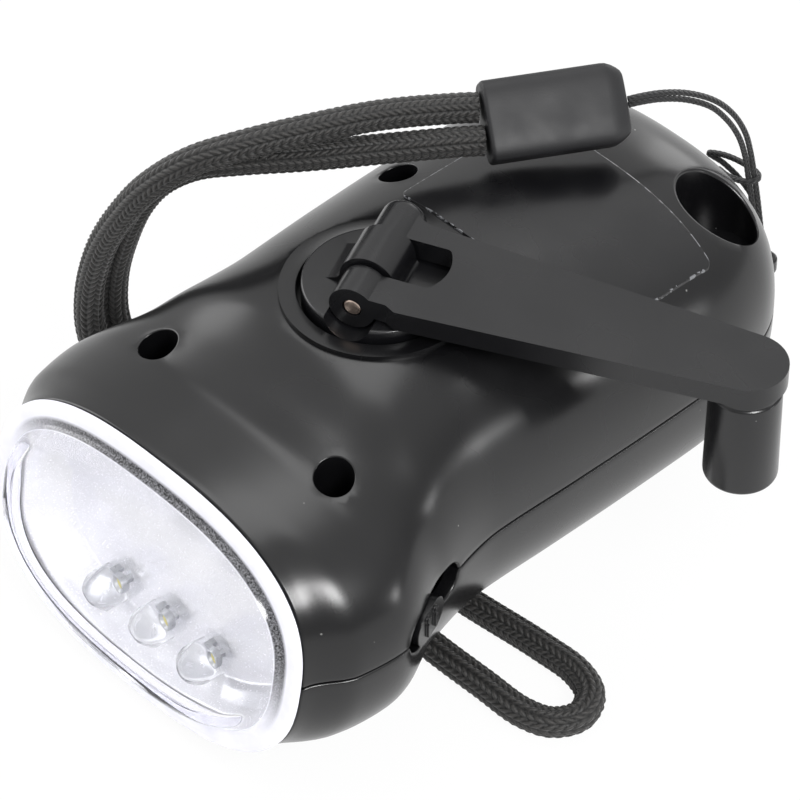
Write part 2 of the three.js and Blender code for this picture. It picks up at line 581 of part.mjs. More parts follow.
piece(crank, 'crank_knob', turned([[knob.bore, knobLedge], [knob.counterbore, knobLedge],
  [knob.counterbore, knobBottom], [knob.bottomRadius - knob.chamfer, knobBottom],
  [knob.bottomRadius, knobBottom + knob.chamfer], [knob.topRadius, knobTop - knob.chamfer],
  [knob.topRadius - knob.chamfer, knobTop], [knob.bore, knobTop], [knob.bore, knobLedge]], 24)
  .translate(arm.radius, 0, 0), crankPlastic());
// A small screw that comes up from below: its head's top is the given height.
const smallScrew = (height) => turned([[0, height - tack.head], [tack.headRadius / 2, height - tack.head],
  [tack.headRadius, height - tack.head / 2], [tack.headRadius, height], [tack.shankRadius, height],
  [tack.shankRadius, height + tack.shank], [0, height + tack.shank]], 8);
piece(crank, 'knob_screw', smallScrew(knobLedge - fit.seat).translate(arm.radius, 0, 0), zincSteel());
piece(crank, 'gear_screw', smallScrew(driveUnder - fit.press), zincSteel());

// Bush of the crank's shaft, pressed in the housing's plate from below.
piece(flashlight, 'shaft_bush', turned([[table.shaftRadius + fit.slide, collarTop - bush.collar],
  [bush.collarRadius, collarTop - bush.collar], [bush.collarRadius, collarTop], [bush.radius, collarTop],
  [bush.radius, poolFloor - fit.press], [table.shaftRadius + fit.slide, poolFloor - fit.press],
  [table.shaftRadius + fit.slide, collarTop - bush.collar]], 16), acetal());

// Gears: each flank of an involute tooth is drawn through its root, pitch circle and tip. On a wheel of many
// teeth the flank is nearly straight, so it runs from root to tip.

const involute = (angle) => Math.tan(angle) - angle;
function gearOutline(module, teeth, phase) {
  const pitch = (module * teeth) / 2;
  const base = pitch * Math.cos(radians(pressureAngle));
  const half = (radius) => TURN / (4 * teeth) - gear.backlash / (4 * pitch) + involute(radians(pressureAngle))
    - involute(Math.acos(Math.min(1, base / radius)));
  const tip = pitch + module * addendumShare;
  const root = pitch - module * dedendumShare;
  const middles = teeth < straightFlankTeeth ? [[pitch, half(pitch)]] : [];
  const flank = [[root, half(Math.max(root, base))], ...middles, [tip, half(tip)]];
  const points = [];
  for (let i = 0; i < teeth; i += 1) {
    const middle = phase + (TURN * i) / teeth;
    for (const [radius, angle] of flank) points.push([radius, middle - angle]);
    for (const [radius, angle] of [...flank].reverse()) points.push([radius, middle + angle]);
  }
  return points.map(([radius, angle]) => new THREE.Vector2(radius * Math.cos(angle), radius * Math.sin(angle)));
}
// The tooth phase that meshes with a gear whose own phase is known; heading points from that gear to this one.
function meshPhase(otherTeeth, otherPhase, teeth, heading) {
  const there = (otherTeeth * (heading - otherPhase)) / TURN;
  return heading + Math.PI - TURN / (2 * teeth) + (TURN * there) / teeth;
}
const gearSlab = (outline, bore, bottom, top) => slab(polygon(outline, circle(bore, 8)), bottom, top);
const step = (from, distance, degrees) => new THREE.Vector2(from.x + distance * Math.cos(radians(degrees)),
  from.y + distance * Math.sin(radians(degrees)));

const crankCentre = new THREE.Vector2(0, 0);
const firstCentre = step(crankCentre, (coarse.module * (coarse.wheelTeeth + coarse.pinionTeeth)) / 2,
  trainAngles.first);
const secondCentre = step(firstCentre, (fine.module * (fine.firstWheelTeeth + fine.pinionTeeth)) / 2,
  trainAngles.second);
const rotorCentre = step(secondCentre, (fine.module * (fine.secondWheelTeeth + fine.pinionTeeth)) / 2,
  trainAngles.rotor);

const firstPhase = meshPhase(coarse.wheelTeeth, 0, coarse.pinionTeeth, radians(trainAngles.first));
const secondPhase = meshPhase(fine.firstWheelTeeth, 0, fine.pinionTeeth, radians(trainAngles.second));
const rotorPhase = meshPhase(fine.secondWheelTeeth, 0, fine.pinionTeeth, radians(trainAngles.rotor));

function driveGear() {
  // The group is turned by the arm's azimuth, so the teeth are turned back by it.
  const outline = gearOutline(coarse.module, coarse.wheelTeeth, -radians(arm.azimuth));
  return slab(polygon(outline, circle(table.shaftRadius + fit.press, 16)), driveUnder, driveTop);
}
piece(crank, 'drive_gear', driveGear(), acetal());

function firstIdler() {
  const wheel = gearSlab(gearOutline(fine.module, fine.firstWheelTeeth, 0), gear.bore, middleUnder, middleTop);
  const pinion = gearSlab(gearOutline(coarse.module, coarse.pinionTeeth, firstPhase), gear.bore,
    middleTop, driveTop + fit.seat);
  const foot = tube(gear.hub, gear.bore, rackTop + fit.seat, middleUnder, 8);
  return join(wheel, pinion, foot);
}
function secondIdler() {
  const wheel = gearSlab(gearOutline(fine.module, fine.secondWheelTeeth, 0), gear.bore, lowUnder, lowTop);
  const pinion = gearSlab(gearOutline(fine.module, fine.pinionTeeth, secondPhase), gear.bore, lowTop, middleTop);
  const foot = tube(gear.hub, gear.bore, rackTop + fit.seat, lowUnder, 8);
  return join(wheel, pinion, foot);
}
piece(flashlight, 'idler_gear_1', firstIdler(), acetal()).position.set(firstCentre.x, firstCentre.y, 0);
piece(flashlight, 'idler_gear_2', secondIdler(), acetal()).position.set(secondCentre.x, secondCentre.y, 0);
piece(flashlight, 'idler_axle_1', rod(gear.axle, rackUnder, driveTop + 2 * fit.seat, firstCentre.x, firstCentre.y, 8),
  steel());
piece(flashlight, 'idler_axle_2', rod(gear.axle, rackUnder, middleTop + fit.seat, secondCentre.x, secondCentre.y, 8),
  steel());

function gearFrame() {
  const legs = [[0, rack.legFrontY, shell.wall], [rack.legSideX, rack.legSideY, archFloor],
    [-rack.legSideX, rack.legSideY, archFloor]];
  const outline = hull([...legs.map(([x, y]) => [x, y, rack.leg]), [secondCentre.x, secondCentre.y, rack.rim]]);
  const plate = slab(polygon(outline), rackUnder, rackTop);
  const posts = legs.map(([x, y, floor]) => rod(rack.leg, floor + fit.seat, rackTop, x, y, 16));
  const holes = [
    rod(gear.axle + fit.press, 0, fit.far, firstCentre.x, firstCentre.y, 8),
    rod(gear.axle + fit.press, 0, fit.far, secondCentre.x, secondCentre.y, 8),
    rod(gear.axle + fit.slide, 0, fit.far, rotorCentre.x, rotorCentre.y, 8),
  ];
  return cut(join(plate, ...posts), ...holes);
}
piece(flashlight, 'gear_frame', gearFrame(), acetal());

// Generator: a magnet that spins inside two claw plates, with the coil round them.

const stator = new THREE.Group();
const statorHeight = archFloor + fit.seat;
const statorSpan = rackUnder - generator.headroom - statorHeight;
stator.position.set(rotorCentre.x, rotorCentre.y, statorHeight);
flashlight.add(stator);

function clawPlate() {
  const disc = tube(generator.radius, gear.axle + fit.slide, 0, generator.plate, 24);
  const sector = TURN / clawCount;
  const outer = generator.clawInner + generator.clawThickness;
  const claws = Array.from({ length: clawCount }, (_, k) => {
    const middle = k * sector;
    const half = (sector * clawShare) / 2;
    const claw = new THREE.Shape();
    claw.absarc(0, 0, outer, middle - half, middle + half, false);
    claw.absarc(0, 0, generator.clawInner, middle + half, middle - half, true);
    claw.closePath();
    return new THREE.ExtrudeGeometry(claw, { depth: statorSpan * clawReachShare, bevelEnabled: false,
      curveSegments: 3 });
  });
  return join(disc, ...claws);
}
piece(stator, 'pole_plate_lower', clawPlate(), zincSteel());
// The upper plate is turned over, and its claws stand in the gaps of the lower one's.
const upperPlate = piece(stator, 'pole_plate_upper', clawPlate(), zincSteel());
upperPlate.rotation.set(Math.PI, 0, TURN / (2 * clawCount), 'ZYX');
upperPlate.position.z = statorSpan;

const bobbinInner = generator.clawInner + generator.clawThickness + fit.seat;
const bobbinOuter = bobbinInner + generator.bobbinWall;
const bobbinUnder = generator.plate + fit.seat;
const bobbinTop = statorSpan - bobbinUnder;
piece(stator, 'stator_bobbin', turned([[bobbinInner, bobbinUnder], [generator.radius, bobbinUnder],
  [generator.radius, bobbinUnder + generator.flange], [bobbinOuter, bobbinUnder + generator.flange],
  [bobbinOuter, bobbinTop - generator.flange], [generator.radius, bobbinTop - generator.flange],
  [generator.radius, bobbinTop], [bobbinInner, bobbinTop], [bobbinInner, bobbinUnder]], 24), acetal());
piece(stator, 'stator_coil', tube(generator.radius - generator.coilInset, bobbinOuter + generator.windingGap,
  bobbinUnder + generator.flange + generator.windingGap, bobbinTop - generator.flange - generator.windingGap, 24),
copper());

piece(stator, 'rotor_magnet', tube(generator.rotorRadius, gear.axle + fit.press, generator.rotorInset,
  statorSpan - generator.rotorInset, 24), ferrite());
piece(stator, 'rotor_axle', rod(gear.axle, fit.press, lowTop + fit.seat - statorHeight, 0, 0, 8), steel());
piece(stator, 'rotor_pinion', slab(polygon(gearOutline(fine.module, fine.pinionTeeth, rotorPhase),
  circle(gear.axle + fit.press, 8)), rackTop + fit.seat - statorHeight, lowTop - statorHeight), acetal());

// Slide switch: local X points out of the side wall, Y runs back along it.

const switchGroup = new THREE.Group();
switchGroup.position.set(slot.x, slot.y, shell.partingHeight);
switchGroup.rotation.z = radians(slot.turn);
flashlight.add(switchGroup);

const sliderFront = -slot.length / 2 + slider.front;
const sliderMiddle = sliderFront + slider.length / 2;
const baseOuter = -shell.wall - fit.seat;
function slideKnob() {
  const stem = alongX(slab(polygon(roundedRectangle(slider.length / 2, slider.height / 2, slider.height / 2)),
    baseOuter - slider.base / 2, slider.proud)).translate(0, sliderMiddle, 0);
  const base = box(baseOuter - slider.base, baseOuter, sliderMiddle - slider.baseLength / 2,
    sliderMiddle + slider.baseLength / 2, -slider.baseHeight / 2, slider.baseHeight / 2);
  const ridges = [-1, 1].map((side) => {
    const y = sliderMiddle + side * slider.ridgeWidth;
    return box(0, slider.proud + slider.ridge, y - slider.ridgeWidth / 2, y + slider.ridgeWidth / 2,
      -slider.ridgeHalfHeight, slider.ridgeHalfHeight);
  });
  return join(stem, base, ...ridges);
}
piece(switchGroup, 'switch_slider', slideKnob(), housingPlastic());
const bodyOuter = baseOuter - slider.base - fit.seat;
piece(switchGroup, 'switch_body', box(bodyOuter - switchBody.depth, bodyOuter, -switchBody.length / 2,
  switchBody.length / 2, -switchBody.height / 2, switchBody.height / 2), zincSteel());

// Cells in their sleeve on the floor, and the control board on top of them.

const sleeveRadius = cell.radius + fit.press + sleeve.wall;
const packHalf = (cellCount * cell.length + (cellCount - 1) * fit.press) / 2;
const cellHeight = shell.wall + fit.seat + sleeveRadius;
const cellPlace = cell.placeShare * rearReach;
for (let i = 0; i < cellCount; i += 1) {
  const left = -packHalf + i * (cell.length + fit.press);
  piece(flashlight, `battery_cell_${i + 1}`, rod(cell.radius, left, left + cell.length, 0, 0, 24)
    .rotateY(Math.PI / 2).translate(0, cellPlace, cellHeight), nickel());
}
piece(flashlight, 'battery_sleeve', tube(sleeveRadius, cell.radius + fit.press, -packHalf - sleeve.overhang,
  packHalf + sleeve.overhang, 24).rotateY(Math.PI / 2).translate(0, cellPlace, cellHeight), shrinkFilm());
const circuitUnder = cellHeight + sleeveRadius + fit.seat;
piece(flashlight, 'control_board', box(-circuit.halfWidth, circuit.halfWidth, circuit.front, circuit.rearShare * rearReach,
  circuitUnder, circuitUnder + circuit.thickness), circuitGreen());

// Wrist cord, its rubber bead and the hitch thread. The routes are chosen by hand over the drawn housing. On
// another one they keep to its crown and tail.

const beadGroup = new THREE.Group();
beadGroup.position.set(bead.x, bead.rearShare * rearReach, crown + bead.lift);
beadGroup.rotation.set(radians(bead.tilt), 0, radians(bead.azimuth), 'ZYX');
flashlight.add(beadGroup);
function rubberBead() {
  const count = 20;
  const section = (x, inset) => Array.from({ length: count }, (_, i) => {
    const [c, s] = [Math.cos((TURN * i) / count), Math.sin((TURN * i) / count)];
    const size = (Math.abs(c) ** beadPower + Math.abs(s) ** beadPower) ** (-1 / beadPower);
    return new THREE.Vector3(x, (bead.halfWidth - inset) * c * size, (bead.halfThickness - inset) * s * size);
  });
  const end = bead.halfLength;
  const rings = [section(-end, bead.soft / 2), section(-end + bead.soft / 2, 0), section(end - 2 * bead.soft, 0),
    section(end - bead.soft / 2, bead.soft / 2), section(end, bead.soft)];
  return skin(rings, new THREE.Vector3(-end, 0, 0), new THREE.Vector3(end, 0, 0));
}
piece(beadGroup, 'strap_bead', rubberBead(), rubber());

class Route extends THREE.CatmullRomCurve3 {
  constructor(points) {
    const backward = rearReach / drawn.rearReach;
    const upward = (crown - drawn.floor) / (drawn.crown - drawn.floor);
    super(points.map(([x, y, z]) => new THREE.Vector3(x, y > 0 ? y * backward : y,
      drawn.floor + (z - drawn.floor) * upward)), false, 'centripetal');
  }
}
const cordRoute = [
  [-9.1, 24.9, 46.2], [-10.9, 22.6, 46.3], [-15.5, 15.1, 46.9], [-19.6, 6.8, 47],
  [-23.7, 0, 46], [-27.3, -4, 43.9], [-31.8, -6.9, 38.9], [-35.6, -8.1, 32.8],
  [-39.4, -8.7, 25], [-41.8, -8.9, 16.5], [-41.9, -9, 9.8], [-39.8, -8.7, 4.6],
  [-35.2, -8.5, 2.1], [-28.5, -8.4, 1.9], [-8, -8.5, 1.9], [17.5, -10.1, 1.9],
  [28, -10, 1.9], [34.3, -9.8, 1.9], [37.7, -8.4, 1.9], [39.2, -5.4, 1.9],
  [37.9, -2.4, 1.9], [34.4, -0.9, 1.9], [28.5, -1, 1.9], [17.5, -2.1, 1.9],
  [-8, -4.1, 1.9], [-28.5, -4.4, 1.9], [-35.2, -4.5, 2.1], [-39.8, -4.7, 4.6],
  [-41.9, -5, 9.8], [-41.8, -4.9, 16.5], [-39.4, -4.7, 25], [-36.4, -4.3, 32],
  [-33.4, -3.5, 36.7], [-29.1, -1.6, 40.7], [-24.9, 1.2, 42.4], [-19.6, 6.8, 43],
  [-13.9, 14.1, 43.3], [-8.3, 21, 43.7], [-6.5, 23.4, 43.6],
];
const threadRoute = [
  [1.4, 39.4, 44.9], [2, 40.5, 45], [3, 43.3, 44.5], [4.2, 46.6, 43.2], [5.6, 49.6, 41.2],
  [6.4, 52, 38.2], [6.8, 54, 34.4], [6.9, 55.3, 30.4], [7.2, 55.9, 26.6], [7.9, 56, 23.2],
  [9, 55.5, 20.4], [10.2, 54.7, 18.4], [10.4, 54.4, 17],
];
function cordTube(route, size, steps) {
  return new THREE.ExtrudeGeometry(polygon(circle(size.diameter / 2, size.sides)), { steps, bevelEnabled: false,
    extrudePath: new Route(route) });
}
piece(flashlight, 'wrist_cord', cordTube(cordRoute, cord, 62), braid());
piece(flashlight, 'strap_thread', cordTube(threadRoute, thread, 18), braid());

export default flashlight;
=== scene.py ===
# %% [markdown]
# A hand crank flashlight, dressed in Blender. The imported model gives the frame: every piece below is made
# in that frame and rides on one of its bodies, so nothing has to be fitted by hand. Lengths are written in
# millimetres from the crank's axis and the ground, as a designer would, and one function turns them to
# metres at their place in the frame.

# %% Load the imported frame
import math

import bmesh
import bpy
import numpy as np
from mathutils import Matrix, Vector, geometry


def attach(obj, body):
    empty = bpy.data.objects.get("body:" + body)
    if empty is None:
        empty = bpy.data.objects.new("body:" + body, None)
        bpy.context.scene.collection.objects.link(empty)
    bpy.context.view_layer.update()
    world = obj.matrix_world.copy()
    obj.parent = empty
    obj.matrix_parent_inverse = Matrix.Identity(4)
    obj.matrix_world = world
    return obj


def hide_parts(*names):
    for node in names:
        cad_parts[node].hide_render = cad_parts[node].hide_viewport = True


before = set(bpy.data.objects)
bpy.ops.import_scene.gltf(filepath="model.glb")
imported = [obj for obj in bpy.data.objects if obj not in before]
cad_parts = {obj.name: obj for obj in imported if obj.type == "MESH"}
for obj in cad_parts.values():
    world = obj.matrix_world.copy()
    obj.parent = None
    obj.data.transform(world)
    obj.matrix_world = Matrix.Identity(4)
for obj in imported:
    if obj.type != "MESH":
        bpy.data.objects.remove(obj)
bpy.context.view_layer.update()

MM = 0.001
CRANK_TO_ORIGIN = 27.0  # the frame's origin is the middle of the rear pad, behind the crank's axis


def place(points):
    """Millimetres from the crank's axis to metres in the frame: 27 mm forward, then a thousandth."""
    return (np.asarray(points, float) - [0, CRANK_TO_ORIGIN, 0]) * MM


# %% [markdown]
# The camera stands to the front right of the lamp and looks down at it from about 45 degrees. A long lens
# from half a metre away gives the flat perspective of a catalogue picture. It could be placed by eye. Here
# its place was fitted to the lamp's outline in the photograph, so that a render can be laid beside it.

# %% Camera
def in_scene(name, data):
    """A new object with this data, linked to the scene."""
    made = bpy.data.objects.new(name, data)
    bpy.context.scene.collection.objects.link(made)
    return made


CAMERA_PITCH, CAMERA_HEADING = 44.68, 46.15  # degrees down from level, and degrees left of the Y axis
camera_data = bpy.data.cameras.new("camera")
camera_data.lens = 204.75
camera_data.sensor_width = 36
camera = in_scene("camera", camera_data)
camera.location = (0.275634, -0.288340, 0.397090)
camera.rotation_euler = (math.radians(90 - CAMERA_PITCH), 0, math.radians(CAMERA_HEADING))
bpy.context.scene.camera = camera
print("camera at", tuple(round(c, 3) for c in camera.location))

# %% [markdown]
# Three helpers keep the materials short. One turns a hex colour, as a designer picks it on screen, into the
# linear values that Blender lights with. One adds a node with its settings and its links, and one makes a
# material that is still empty. Nodes could be joined by hand too, but in a script a material reads as a
# recipe.


# %% Colour and node helpers
def colour(text):
    """sRGB hex to linear: each channel is divided by 12.92 near black, and raised to 2.4 above that."""
    channels = [int(text[i:i + 2], 16) / 255 for i in (0, 2, 4)]
    linear = [c / 12.92 if c <= 0.04045 else ((c + 0.055) / 1.055) ** 2.4 for c in channels]
    return (*linear, 1.0)


def add(tree, kind, sockets=None, **settings):
    """Adds a shader node, its kind written without the common ShaderNode, and fills its sockets in use, by
    name or number: with a value, with another node's output, or with a node, whose first output in use is
    then linked."""
    node = tree.nodes.new("ShaderNode" + kind)
    for name, value in settings.items():
        setattr(node, name, value)
    for name, value in (sockets or {}).items():
        named = [s for s in node.inputs if s.enabled and s.name == name]
        socket = named[0] if named else node.inputs[name]
        if isinstance(value, bpy.types.Node):
            value = next(s for s in value.outputs if s.enabled)
        if isinstance(value, bpy.types.NodeSocket):
            tree.links.new(value, socket)
        else:
            socket.default_value = value
    return node


def blank(name):
    """A new material with an empty node tree."""
    made = bpy.data.materials.new(name)
    made.use_nodes = True
    made.node_tree.nodes.clear()
    return made, made.node_tree


print("mid grey in linear light:", round(colour("808080")[0], 3))

# %% [markdown]
# The floor. A product picture like this is taken on white paper. The paper shows white to the camera and in
# reflections, and a small share of its real shading is kept, so that the object has a soft shadow. Stronger
# lamps would make the paper white too, but they would bleach the black plastic with it. So Light Path
# decides what is seen of the paper, and the light on the object stays plain.

# %% Paper floor
bpy.context.scene.view_settings.view_transform = "Standard"
FLOOR_HALF = 3.0  # metres
floor_mesh = bpy.data.meshes.new("paper_floor")
floor_corners = np.array([[-1, -1, 0], [1, -1, 0], [1, 1, 0], [-1, 1, 0]]) * FLOOR_HALF
floor_mesh.from_pydata(floor_corners.tolist(), [], [(0, 1, 2, 3)])
floor = in_scene("paper_floor", floor_mesh)

SEEN_WHITE_SHARE = 0.95  # of what the camera sees of the paper, the rest keeps the shadow
paper, tree = blank("white_paper")
# Uncoated paper: quite matt, and a little darker than pure white where light falls on it.
light_path = add(tree, "LightPath")
sharp = add(tree, "Math", {0: light_path.outputs["Is Camera Ray"], 1: light_path.outputs["Is Glossy Ray"]},
            operation="MAXIMUM")
seen = add(tree, "Math", {0: sharp, 1: light_path.outputs["Is Transmission Ray"]}, operation="MAXIMUM")
share = add(tree, "Math", {0: seen, 1: SEEN_WHITE_SHARE}, operation="MULTIPLY")
matt = add(tree, "BsdfDiffuse", {"Color": colour("f2f2f2")})
white = add(tree, "Emission", {"Color": colour("ffffff"), "Strength": 1.0})
mixed = add(tree, "MixShader", {0: share, 1: matt, 2: white})
add(tree, "OutputMaterial", {"Surface": mixed})
floor_mesh.materials.append(paper)
print("paper floor:", 2 * FLOOR_HALF, "m wide")

# %% [markdown]
# The studio. Black plastic shows only what it reflects, so the sky is brighter overhead and to the left
# than it is beside the camera, and seen straight or through the lens it is plain white. Large square lamps
# stand overhead, at the left, behind, at the right and in front of the lens. Small lamps would leave hard
# spots on the shell, and large ones give the long soft highlights of a soft box.

# %% Sky
SKY_DARK, SKY_BRIGHT = 0.42, 0.88
SKY_HEADING = (-0.52, 0.30, 0.80)  # towards the bright part
world = bpy.data.worlds.new("studio")
world.use_nodes = True
bpy.context.scene.world = world
tree = world.node_tree
tree.nodes.clear()
heading = add(tree, "TexCoord")
facing = add(tree, "VectorMath", {0: heading.outputs["Generated"], 1: SKY_HEADING}, operation="DOT_PRODUCT")
level = add(tree, "MapRange", {"Value": facing.outputs["Value"], "From Min": -0.3, "From Max": 0.8,
            "To Min": SKY_DARK, "To Max": SKY_BRIGHT}, interpolation_type="SMOOTHSTEP")
light_path = add(tree, "LightPath")
straight = add(tree, "Math", {0: light_path.outputs["Is Camera Ray"],
               1: light_path.outputs["Is Transmission Ray"]}, operation="MAXIMUM")
strength = add(tree, "Mix", {"Factor": straight, "A": level, "B": 1.0})
backdrop = add(tree, "Background", {"Color": colour("ffffff"), "Strength": strength})
add(tree, "OutputWorld", {"Surface": backdrop})
print("sky strength:", SKY_DARK, "to", SKY_BRIGHT)

# %% Soft boxes
def soft_box(name, where, aim, size, watts):
    """A square lamp at `where`, turned so that its back points away from `aim`, both in metres."""
    light = bpy.data.lights.new(name, "AREA")
    light.shape = "SQUARE"
    light.size = size
    light.energy = watts
    lamp = in_scene(name, light)
    lamp.location = where
    back = Vector(where) - Vector(aim)
    lamp.rotation_euler = back.to_track_quat("Z", "Y").to_euler()


LAMP_AIM, LENS_AIM = (0, 0, 0.02), (0, -0.06, 0.02)
soft_box("overhead_box", (-0.20, 0.15, 0.75), LAMP_AIM, 0.4, 1.2)
soft_box("left_wall", (-0.60, -0.20, 0.30), LAMP_AIM, 0.5, 2.2)
soft_box("back_strip", (-0.20, 0.70, 0.24), LAMP_AIM, 0.35, 0.8)
soft_box("right_box", (0.52, -0.15, 0.52), LAMP_AIM, 0.24, 4.2)
soft_box("right_strip", (0.62, 0.33, 0.12), LAMP_AIM, 0.1, 0.4)
soft_box("lens_fill", (-0.12, -0.60, 0.16), LENS_AIM, 0.3, 0.25)

# %% [markdown]
# Most pieces are a sheet of points: rows and columns worked out at once by numpy, joined by four-cornered
# faces. They could be modelled by hand, but as sheets they stay formulas whose values can be changed. The
# helpers below join such sheets, weld the seams, turn the faces outwards and hand the piece to its body.


# %% Sheets of points
def sheet_faces(rows, columns):
    """Faces of a grid of rows by columns whose last column joins the first."""
    index = np.arange(rows * columns).reshape(rows, columns)
    following = np.roll(index, -1, axis=1)
    corners = [index[:-1], following[:-1], following[1:], index[1:]]
    return np.stack(corners, axis=-1).reshape(-1, 4)


def join_sheets(*sheets):
    """Points and faces of several (points, faces) pairs as one."""
    points, faces, start = [], [], 0
    for some, their in sheets:
        some = np.asarray(some, float).reshape(-1, 3)
        points.append(some)
        faces += [[int(corner) + start for corner in face] for face in their]
        start += len(some)
    return np.concatenate(points), faces


def rings_sheet(rings):
    """A tube of closed rings, (rings, points, 3)."""
    rings = np.asarray(rings, float)
    return rings.reshape(-1, 3), sheet_faces(rings.shape[0], rings.shape[1])


print("faces of a tube of 3 rings with 4 points each:", len(sheet_faces(3, 4)))


# %% Meshes and pieces
def new_mesh(name, points, faces, smooth_angle=40, weld=True, mark=None, shares=None):
    """A mesh from points in metres, with a share for each point under the mark's name. Its doubles are merged
    and its faces turned outwards."""
    mesh = bpy.data.meshes.new(name)
    mesh.from_pydata(np.asarray(points).tolist(), [], [list(face) for face in faces])
    if mark:
        mesh.attributes.new(mark, "FLOAT", "POINT").data.foreach_set("value", shares.ravel())
    if weld:
        made = bmesh.new()
        made.from_mesh(mesh)
        bmesh.ops.remove_doubles(made, verts=made.verts, dist=2e-7)
        bmesh.ops.recalc_face_normals(made, faces=made.faces)
        made.to_mesh(mesh)
        made.free()
    mesh.shade_smooth()
    mesh.set_sharp_from_angle(angle=math.radians(smooth_angle))
    return mesh


def dress(name, mesh, material, body, slot, *nodes):
    """A piece that rides on a body and stands for CAD nodes, which it hides. The slot is not used."""
    piece = in_scene(name, mesh)
    mesh.materials.clear()
    mesh.materials.append(material)
    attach(piece, body)
    if nodes:
        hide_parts(*nodes)
    print(f"{name}: {len(mesh.polygons)} faces, rides on {body}")
    return piece


# %% Turned and rounded profiles
def round_angles(count):
    """Angles that go evenly round a circle."""
    return np.linspace(0, 2 * math.pi, count, endpoint=False)


def superellipse(angle, power):
    """Cosine and sine of the angle, and the size that takes that point of the circle to the curve on which
    the powers of width and height add up to one."""
    c, s = np.cos(angle), np.sin(angle)
    return c, s, (np.abs(c) ** power + np.abs(s) ** power) ** (-1 / power)


def turned(profile, count=64, x=0.0, y=0.0):
    """A profile of [radius, height] rows turned about the vertical at (x, y): each point goes round a
    circle of its own radius."""
    profile = np.asarray(profile, float)
    angle = round_angles(count)
    around = np.stack([np.cos(angle), np.sin(angle)], axis=-1)
    flat = profile[:, None, :1] * around + [x, y]
    height = np.broadcast_to(profile[:, None, 1:], (len(profile), count, 1))
    return rings_sheet(np.concatenate([flat, height], axis=-1))


def rounded(profile, radii, steps=4):
    """Each corner of an open profile becomes an arc: points slide along both sides by the corner's radius,
    and a curve of second degree runs between them."""
    profile = np.asarray(profile, float)
    t = np.linspace(0, 1, steps + 1)[:, None]
    out = [profile[:1]]
    for before, corner, after, radius in zip(profile[:-2], profile[1:-1], profile[2:], radii):
        if radius == 0:
            out.append(corner[None])
            continue
        start = corner + (before - corner) / np.linalg.norm(before - corner) * radius
        end = corner + (after - corner) / np.linalg.norm(after - corner) * radius
        out.append((1 - t) ** 2 * start + 2 * t * (1 - t) * corner + t ** 2 * end)
    out.append(profile[-1:])
    return np.concatenate(out)


print("points of one rounded corner:", len(rounded([[0, 0], [1, 0], [1, 1]], [0.5])) - 2)

# %% [markdown]
# Patterns are drawn at their real size. Texture nodes count cells per metre on Object coordinates, so one
# helper turns a size in millimetres into that scale. Nearly all of a noise texture lies between 0.3 and
# 0.7, and a material spreads that part over the range that its roughness or its mix needs.

# %% Pattern scale
NOISE_SPAN = {"From Min": 0.3, "From Max": 0.7}


def per_metre(size):
    """Texture scale whose cells are `size` millimetres across: the millimetres of a metre over the size."""
    return 1000.0 / size


print("cells per metre of a 0.3 mm grain:", round(per_metre(0.3)))

# %% [markdown]
# Braided nylon. The wrist cord and the thread are woven from fine bright fibres that are dyed black, so
# they look soft and slightly furry. The gaps between strands, where shade falls, are painted darker as
# shade. A picture of a weave would repeat and stretch in the bends. Here the mesh has the braid's relief,
# and a map that counts strands and picks lets the material draw the same strands with their fibres and
# the painted shade in their gaps.

# %% Braided nylon
BRAID_SWING = 0.35  # how far the two families of strands rise and sink by turns


